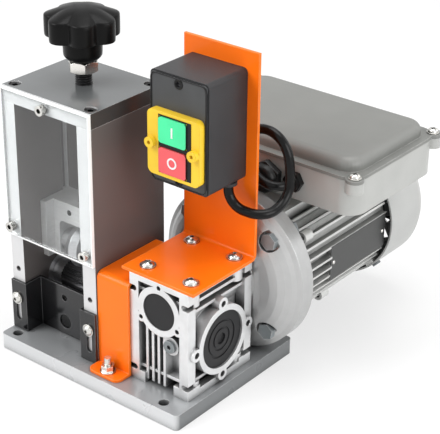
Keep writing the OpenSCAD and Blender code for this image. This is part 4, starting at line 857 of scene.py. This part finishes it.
@dataclass
class Lead:
    """The black lead from the switch box to the terminal box.

    Attributes:
        radius: Its radius.
        route: Places along its middle, from the switch box on.
    """

    radius: float = 0.004
    route: list[Point] = field(default_factory=lambda: [
        (0.079, 0.009, 0.1785), (0.079, 0.009, 0.1745), (0.0803, 0.0092, 0.1683), (0.0841, 0.0095, 0.1632),
        (0.0898, 0.01, 0.16), (0.0962, 0.011, 0.1588), (0.1024, 0.0128, 0.1583), (0.1076, 0.0166, 0.1582),
        (0.1108, 0.022, 0.1586), (0.112, 0.0283, 0.1598), (0.1124, 0.0343, 0.1622),
        (0.1125, 0.0393, 0.1662), (0.1125, 0.0427, 0.1716), (0.1123, 0.044, 0.1782),
        (0.1119, 0.0442, 0.1865), (0.1108, 0.0442, 0.195), (0.1082, 0.0442, 0.203),
        (0.1032, 0.0442, 0.2096), (0.096, 0.0442, 0.2138), (0.088, 0.0442, 0.215), (0.08, 0.0444, 0.2132),
        (0.073, 0.0448, 0.2086), (0.0682, 0.0453, 0.202), (0.066, 0.0459, 0.1943), (0.0664, 0.0464, 0.1864),
        (0.0692, 0.0467, 0.1794), (0.0741, 0.0468, 0.1738), (0.0794, 0.0469, 0.1702),
        (0.0848, 0.0473, 0.1676), (0.09, 0.0492, 0.1657), (0.094, 0.0526, 0.1647),
        (0.0966, 0.057, 0.1642), (0.0975, 0.0616, 0.164), (0.0975, 0.065, 0.164)])

    def build(self) -> None:
        """Sweeps the lead along its route."""
        data = bpy.data.curves.new("switch_lead", "CURVE")
        data.dimensions = "3D"
        data.bevel_depth = self.radius
        data.bevel_resolution = 5
        data.use_fill_caps = True
        data.resolution_u = 6
        line = data.splines.new("BEZIER")
        line.bezier_points.add(len(self.route) - 1)
        for knot, place in zip(line.bezier_points, self.route):
            knot.co = place
            knot.handle_left_type = "AUTO"
            knot.handle_right_type = "AUTO"
        piece = bpy.data.objects.new("lead_sheath", data)
        bpy.context.collection.objects.link(piece)
        settle(piece, "lead_sheath", CABLE, "frame", "switch_lead")


@dataclass
class Tower:
    """Base plate, walls, top plate, shield and feed mechanism.

    Attributes:
        seat: Gap of air behind the shield.
        hole: Radius of the shield's screw holes.
        head: Radius of the shield's screw heads.
        cut: Width of the frosted rim round the shield.
    """

    seat: float = 0.0001
    hole: float = 0.0026
    head: float = 0.0042
    cut: float = 0.0014

    def build(self) -> None:
        """Dresses the tower and models its shield."""
        dress(PLATE_STEEL, "base_plate")
        dress(WALL_STEEL, "left_wall", "right_wall")
        dress(TOP_STEEL, "top_plate")
        low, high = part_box("front_shield")
        depth = high[1] - low[1] - self.seat
        settle(self._shield(depth), "clear_shield", ACRYLIC, "frame", "front_shield")
        settle(self._shield_rim(depth), "shield_rim", FROSTED, "frame")
        dress(BLACK_OXIDE, "frame_screws", "yoke_set_screws")
        dress(ROLLER_BLACK, "feed_roller")
        dress(ZINC, "shield_screws", "guide_screws")
        dress(YOKE_STEEL, "carriage_yoke")
        dress(GROUND_STEEL, "blade_axle", "blade_spacers", "round_blade", "drive_shaft", "spacer_sleeves",
              "wall_bearings")
        dress(BLACK_GLOSS, "guide_plate")
        dress(NICKEL, "lock_nut")

    def _pane(self, margin: float, depth: float) -> Piece:
        """A block in the shield's place.

        Args:
            margin: How far its four edges stay inside the shield's.
            depth: Its thickness.

        Returns:
            The block.
        """
        low, high = (Vector(corner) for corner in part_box("front_shield"))
        middle = (low + high) / 2 - Vector((0.0, self.seat / 2, 0.0))
        return bar((high.x - low.x - 2 * margin, depth, high.z - low.z - 2 * margin), tuple(middle))

    def _shield(self, depth: float) -> Piece:
        """The clear sheet with its three holes, flat shaded so that it doesn't bend what is behind it.

        Args:
            depth: Its thickness.

        Returns:
            The sheet.
        """
        sheet = self._pane(self.cut + self.seat / 4, depth)
        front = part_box("front_shield")[0][1]
        low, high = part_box("shield_screws")
        spots = [(low[0] + self.head, low[2] + self.head), (high[0] - self.head, low[2] + self.head),
                 ((low[0] + high[0]) / 2, high[2] - self.head)]
        for x, z in spots:
            turned([(-depth, self.hole), (depth, self.hole)], 32)
            carve(sheet, set_down((x, front + depth / 2, z), FORWARD))
        chamfer(self.seat, 2, 40.0)
        return sheet

    def _shield_rim(self, depth: float) -> Piece:
        """The sheet's cut edges, which the saw has left frosted.

        Args:
            depth: Their thickness.

        Returns:
            The rim.
        """
        rim = self._pane(0.0, depth)
        carve(rim, self._pane(self.cut, 2 * depth))
        soften(self.seat, 2, 40.0)
        return rim


@dataclass
class DepthScrew:
    """The star knob and the threaded adjusting screw below it.

    Attributes:
        lobes: Number of the knob's lobes.
        turn: Bearing of the first lobe in degrees.
        reach: Radius over the lobes.
        valley: Radius between them.
        fullness: Power that fills the lobes out, with narrower valleys where it is smaller.
        rounding: How far the bottom of a valley is rounded.
        rim: Height of the lobes' underside.
        hub: Radius of the hub.
        core: Radius of the crown's middle, which has no lobes.
        blend: Width over which the lobes begin.
        head: Radius of the screw's captive head.
        neck: Radius of the neck above it.
        foot: Height at which the thread begins.
        plain: Length of the screw's end without a thread.
        pitch: Rise of the thread in a turn.
        crest: Radius of the thread.
        root: Radius below the thread.
        bury: How deep the thread's foot sits in the shank.
    """

    lobes: int = 7
    turn: float = -46.0
    reach: float = 0.0305
    valley: float = 0.0234
    fullness: float = 0.4
    rounding: float = 0.02
    rim: float = 0.019
    hub: float = 0.01575
    core: float = 0.009
    blend: float = 0.0195
    head: float = 0.009
    neck: float = 0.0055
    foot: float = 0.013
    plain: float = 0.012
    pitch: float = 0.002
    crest: float = 0.007
    root: float = 0.0061
    bury: float = 0.0003

    def build(self) -> None:
        """Models the knob and the screw."""
        low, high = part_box("adjusting_screw")
        axis = halfway(low, high)[:2]
        settle(self._knob(axis), "lobed_knob", KNOB_BLACK, "screw", "star_knob")
        settle(self._screw(axis, low[2], high[2]), "threaded_screw", BLACK_OXIDE, "screw", "adjusting_screw")

    def _knob(self, axis: tuple[float, float]) -> Piece:
        """The knob, turned as rings whose outer ones are drawn in between the lobes.

        Args:
            axis: Where its axis stands.

        Returns:
            The knob.
        """
        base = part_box("star_knob")[0][2]
        stem = [(0.0, 0.0112), (0.0003, 0.0119), (0.0036, 0.0152), (0.0046, self.hub),
                (self.rim - 0.0008, self.hub), (self.rim, self.hub + 0.0008)]
        side = [(self.rim, 0.0292), (self.rim + 0.0004, 0.0301), (self.rim + 0.0013, self.reach),
                (0.0354, self.reach), (0.0364, 0.0302), (0.0372, 0.029)]
        crown = [(0.0388, 0.0245), (0.0413, 0.0185), (0.0432, 0.0115), (0.044, 0.0045)]
        piece = turned(stem + side + crown, 16 * self.lobes)
        for point in piece.data.vertices:
            self._draw_in(point)
        modify("SUBSURF", levels=1, render_levels=1)
        smooth(40.0)
        return set_down((*axis, base), (0.0, 0.0, self.turn))

    def _draw_in(self, point: bpy.types.MeshVertex) -> None:
        """Moves a point of the lobed rings towards the axis, most of all in a valley.

        Args:
            point: The point.
        """
        radius = math.hypot(point.co.x, point.co.y)
        if point.co.z < self.rim - 0.0001 or radius < self.hub + 0.001:
            return
        swing = 0.5 + 0.5 * math.cos(self.lobes * math.atan2(point.co.y, point.co.x))
        out = ((swing + self.rounding) / (1.0 + self.rounding)) ** self.fullness
        lobed = min(max((radius - self.core) / self.blend, 0.0), 1.0)
        share = 1.0 - lobed * (1.0 - self.valley / self.reach) * (1.0 - out)
        point.co.x *= share
        point.co.y *= share

    def _screw(self, axis: tuple[float, float], base: float, top: float) -> Piece:
        """The captive head, the neck and the threaded shank.

        Args:
            axis: Where its axis stands.
            base: Height of its lower end.
            top: Height of its upper end.

        Returns:
            The screw.
        """
        length = top - base
        eased = self.head - 0.0006
        shank = turned([
            (0.0, eased), (0.0006, self.head), (0.0048, self.head), (0.0054, eased), (0.0054, self.neck),
            (self.foot, self.neck), (self.foot, self.root - self.bury), (self.foot + 0.0004, self.root),
            (length, self.root)], 48)
        merged(shank, self._thread(length - self.foot - self.plain))
        smooth(25.0)
        return set_down((*axis, base))

    def _thread(self, length: float) -> Piece:
        """The ridge of the thread, a small section screwed up the shank.

        Args:
            length: How far it goes up.

        Returns:
            The ridge.
        """
        choose()
        bpy.ops.mesh.primitive_plane_add(size=1.0, location=ORIGIN)
        thread = bpy.context.object
        inner = self.root - self.bury
        section = [(inner, 0.04), (self.crest, 0.44), (inner, 0.96), (self.crest, 0.56)]
        for point, (radius, rise) in zip(thread.data.vertices, section):
            point.co = (radius, 0.0, self.foot + rise * self.pitch)
        turns = int(length / self.pitch)
        modify("SCREW", axis="Z", screw_offset=self.pitch, iterations=turns, steps=32, render_steps=32)
        return thread


@dataclass
class Drive:
    """Gearbox, motor and terminal box.

    Attributes:
        shank: Radius of the lid screws' shanks.
        drop: Length of the shanks.
        washer: Radius of the washers under the lid's screws.
        pan: Radius of the lid screws' heads.
        peak: Height of the heads above the lid.
        cross: Length, width and twice the depth of a cross cut.
        rivet: Radius of the name plate's rivets.
        rivet_in: Distance of a rivet from the plate's end.
        blank: Middle of the blank gland on the terminal box, across and up.
        blank_reach: Radius over the blank gland's corners.
    """

    shank: float = 0.002
    drop: float = 0.009
    washer: float = 0.0055
    pan: float = 0.0044
    peak: float = 0.0039
    cross: Point = (0.0054, 0.0012, 0.0026)
    rivet: float = 0.0019
    rivet_in: float = 0.004
    blank: tuple[float, float] = (0.0745, 0.163)
    blank_reach: float = 0.0148

    def build(self) -> None:
        """Dresses the drive and models its small fixings."""
        self._dress()
        settle(self._lid_screws(), "pan_screws", ZINC, "frame", "lid_screws")
        settle(self._rivets(), "plate_rivets", ZINC, "frame")
        settle(self._blank_gland(), "blank_gland", SEAL_BLACK, "frame")

    @staticmethod
    def _dress() -> None:
        """Gives the solids their finishes."""
        dress(CAST_METAL, "gear_housing")
        dress(CAP_GREY, "output_seals", "worm_cap")
        dress(SEAL_BLACK, "box_gland")
        dress(BRONZE, "worm_wheel")
        dress(FLANGE_GREY, "motor_adapter", "motor_flange")
        dress(MOTOR_GREY, "motor_housing", "rear_shield")
        dress(CORE_STEEL, "stator_core", "rotor_core")
        dress(COWL_GREY, "fan_cowl")
        dress(BOX_GREY, "terminal_box")
        dress(LID_GREY, "terminal_lid")
        dress(CHARCOAL, "run_capacitor", "terminal_block", "cooling_fan")
        dress(PLATE, "name_plate")
        dress(BOLT_STEEL, "flange_bolts", "oil_plug", "cowl_screws")
        dress(ZINC, "guard_bolt", "bracket_screws")
        dress(GROUND_STEEL, "wheel_hub", "worm_shaft", "gear_bearings", "motor_shaft", "motor_bearings")
        dress(ORANGE, "coupling_guard", "switch_bracket")

    def _lid_screws(self) -> Piece:
        """Four pan-head screws with washers, the first with a cross cut into its head and then copied.

        Returns:
            The screws.
        """
        low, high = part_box("lid_screws")
        eased = self.washer - 0.0002
        first = turned([
            (-self.drop, self.shank - 0.0002), (0.0002 - self.drop, self.shank), (0.0, self.shank),
            (0.0, eased), (0.0002, self.washer), (0.0008, self.washer), (0.001, eased), (0.001, self.pan),
            (0.0021, self.pan), (0.003, 0.0038), (0.0036, 0.0027), (self.peak, 0.001)], 40)
        long, thin, deep = self.cross
        for size in ((long, thin, deep), (thin, long, deep)):
            carve(first, bar(size, (0.0, 0.0, self.peak)))
        smooth(35.0)
        set_down((low[0] + self.washer, low[1] + self.washer, low[2] + self.drop))
        across = high[0] - low[0] - 2 * self.washer
        along = high[1] - low[1] - 2 * self.washer
        shifts = ((across, 0.0, 0.0), (0.0, along, 0.0), (across, along, 0.0))
        return merged(first, *[copied(first, shift) for shift in shifts])

    def _rivets(self) -> Piece:
        """Two domed rivets in the name plate's holes.

        Returns:
            The rivets.
        """
        low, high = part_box("name_plate")
        first = turned([
            (-0.0008, 0.0011), (0.0, 0.0011), (0.0, self.rivet), (0.0003, self.rivet),
            (0.0008, self.rivet * 0.8), (0.0011, self.rivet * 0.4)], 24)
        smooth(45.0)
        set_down((high[0], low[1] + self.rivet_in, (low[2] + high[2]) / 2), (0.0, 90.0, 0.0))
        return merged(first, copied(first, (0.0, high[1] - low[1] - 2 * self.rivet_in, 0.0)))

    def _blank_gland(self) -> Piece:
        """The spare cable entry beside the lead's own, closed by a domed nut on a hexagon.

        Returns:
            The gland.
        """
        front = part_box("terminal_box")[0][1]
        reach = self.blank_reach
        nut = turned([(0.0, reach), (0.0052, reach), (0.006, reach * 0.95)], 6)
        chamfer(0.0006, 3, 20.0)
        dome = turned([
            (0.0055, reach * 0.84), (0.0085, reach * 0.82), (0.0105, reach * 0.76), (0.012, reach * 0.64),
            (0.013, reach * 0.46), (0.0134, reach * 0.2)], 48)
        merged(nut, dome)
        smooth(32.0)
        return set_down((self.blank[0], front, self.blank[1]), FORWARD)


@dataclass
class SwitchUnit:
    """Switch box with its cover and push buttons.

    Attributes:
        cap: Depth of a button's cap.
        corner: Radius of its corners.
        stem_in: Distance of the stem from the cap's edges, as a share of its height.
        mark: Half of the marks' thickness.
        stroke: Width and height of the upright mark.
        ring: Radius and width of the round mark.
        lip: Height of the lip round the cover.
        gap: Gap round a cap.
        mask: Width of the mask beside the caps.
        boss: Height of the frame's bosses above its face.
        sink: Radius of the rims round the cover's screws.
    """

    cap: float = 0.008
    corner: float = 0.0025
    stem_in: float = 0.28
    mark: float = 0.0003
    stroke: tuple[float, float] = (0.0016, 0.0085)
    ring: tuple[float, float] = (0.0046, 0.0014)
    lip: float = 0.0008
    gap: float = 0.0007
    mask: float = 0.0042
    boss: float = 0.004
    sink: float = 0.0042

    def build(self) -> None:
        """Dresses the switch and models its buttons."""
        dress(CHARCOAL, "switch_box", "cover_screws", "contact_block")
        dress(COVER_GREY, "switch_cover")
        dress(YELLOW, "button_frame")
        settle(self._lip(), "cover_lip", BLACK_OXIDE, "frame")
        # A dark sheet painted as the shade round and between the caps
        settle(self._shade_round_caps(), "cap_shade_mask", SEAL_BLACK, "frame")
        # Dark rims painted as the shade of wider screw recesses
        settle(self._shade_screw_holes(), "screw_shade_rims", SEAL_BLACK, "frame")
        settle(self._button("start_button"), "start_cap", GREEN, "start", "start_button")
        settle(self._button("stop_button"), "stop_cap", RED, "stop", "stop_button")
        settle(self._upright_mark("start_button"), "start_mark", MARK_WHITE, "start")
        settle(self._round_mark("stop_button"), "stop_mark", MARK_WHITE, "stop")

    def _lip(self) -> Piece:
        """The dark lip round the cover, where it meets the box.

        Returns:
            The lip.
        """
        low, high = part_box("switch_cover")
        x, _, z = halfway(low, high)
        piece = bar((high[0] - low[0], 2 * self.lip, high[2] - low[2]), (x, low[1], z))
        pick(Part.EDGES, runs_back)
        bpy.ops.mesh.bevel(offset=self.corner * 2, segments=6, affect="EDGES")
        pick(Part.FACES, lambda place, normal: abs(normal.y) > 0.9)
        bpy.ops.mesh.inset(thickness=self.lip * 1.4)
        bpy.ops.mesh.bridge_edge_loops()
        soften(self.lip * 0.3, 2, 40.0)
        return piece

    def _shade_round_caps(self) -> Piece:
        """A dark mask round the two caps, which paints the shade round and between them.

        Returns:
            The mask.
        """
        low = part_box("stop_button")[0]
        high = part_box("start_button")[1]
        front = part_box("button_frame")[0][1] + self.boss
        wide = (low[0] - self.gap, high[0] + self.mask)
        tall = (low[2] - self.gap, high[2] + 2 * self.gap)
        mask = bar((wide[1] - wide[0], self.lip, tall[1] - tall[0]),
                   ((wide[0] + wide[1]) / 2, front, (tall[0] + tall[1]) / 2))
        for node in ("start_button", "stop_button"):
            least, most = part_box(node)
            x, _, z = halfway(least, most)
            opening = (most[0] - least[0] + self.gap, 0.01, most[2] - least[2] + self.gap)
            carve(mask, bar(opening, (x, front, z)))
        soften(0.0001, 2, 40.0)
        return mask

    def _shade_screw_holes(self) -> Piece:
        """The two dark rims round the holes of the cover's screws, which paint the shade of wider screw
        recesses.

        Returns:
            The rims.
        """
        low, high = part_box("cover_screws")
        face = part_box("switch_cover")[0][1]
        head = (high[0] - low[0]) / 2
        rings = [(0.0, self.sink), (self.mark, self.sink), (2 * self.mark, self.sink - self.mark)]
        first = turned(rings, 40)
        carve(first, turned([(-0.001, head), (0.002, head)], 40))
        smooth(30.0)
        set_down(((low[0] + high[0]) / 2, face, low[2] + head), FORWARD)
        return merged(first, copied(first, (0.0, 0.0, high[2] - low[2] - 2 * head)))

    def _button(self, node: str) -> Piece:
        """A button cap with round corners and the stem behind it.

        Args:
            node: Name of the button's solid.

        Returns:
            The button.
        """
        low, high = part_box(node)
        x, _, z = halfway(low, high)
        height = high[2] - low[2]
        piece = bar((high[0] - low[0], self.cap, height), (x, low[1] + self.cap / 2, z))
        pick(Part.EDGES, runs_back)
        bpy.ops.mesh.bevel(offset=self.corner, segments=5, affect="EDGES")
        pick(Part.FACES, lambda place, normal: normal.y > 0.9)
        bpy.ops.mesh.inset(thickness=height * self.stem_in)
        stem = (0.0, high[1] - low[1] - self.cap, 0.0)
        bpy.ops.mesh.extrude_region_move(TRANSFORM_OT_translate={"value": stem})
        soften(0.0006, 3, 50.0)
        return piece

    def _upright_mark(self, node: str) -> Piece:
        """The upright mark on a button.

        Args:
            node: Name of the button's solid.

        Returns:
            The mark.
        """
        low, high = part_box(node)
        x, _, z = halfway(low, high)
        piece = bar((self.stroke[0], self.mark * 2, self.stroke[1]), (x, low[1], z))
        soften(0.00012)
        return piece

    def _round_mark(self, node: str) -> Piece:
        """The round mark on a button.

        Args:
            node: Name of the button's solid.

        Returns:
            The mark.
        """
        low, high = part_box(node)
        x, _, z = halfway(low, high)
        radius, width = self.ring
        choose()
        bpy.ops.mesh.primitive_circle_add(vertices=40, radius=radius, fill_type="NGON", location=ORIGIN)
        bpy.ops.object.mode_set(mode="EDIT")
        bpy.ops.mesh.select_mode(type="FACE")
        bpy.ops.mesh.select_all(action="SELECT")
        bpy.ops.mesh.inset(thickness=width)
        bpy.ops.mesh.delete(type="FACE")
        bpy.ops.mesh.select_all(action="SELECT")
        bpy.ops.mesh.extrude_region_move(TRANSFORM_OT_translate={"value": (0.0, 0.0, self.mark * 2)})
        bpy.ops.mesh.select_all(action="SELECT")
        bpy.ops.mesh.normals_make_consistent(inside=False)
        return set_down((x, low[1] + self.mark, z), FORWARD)


def main() -> None:
    """Builds the studio, then dresses the machine piece by piece."""
    Studio().build()
    Lead().build()
    Tower().build()
    DepthScrew().build()
    Drive().build()
    SwitchUnit().build()


if __name__ == "__main__":
    main()
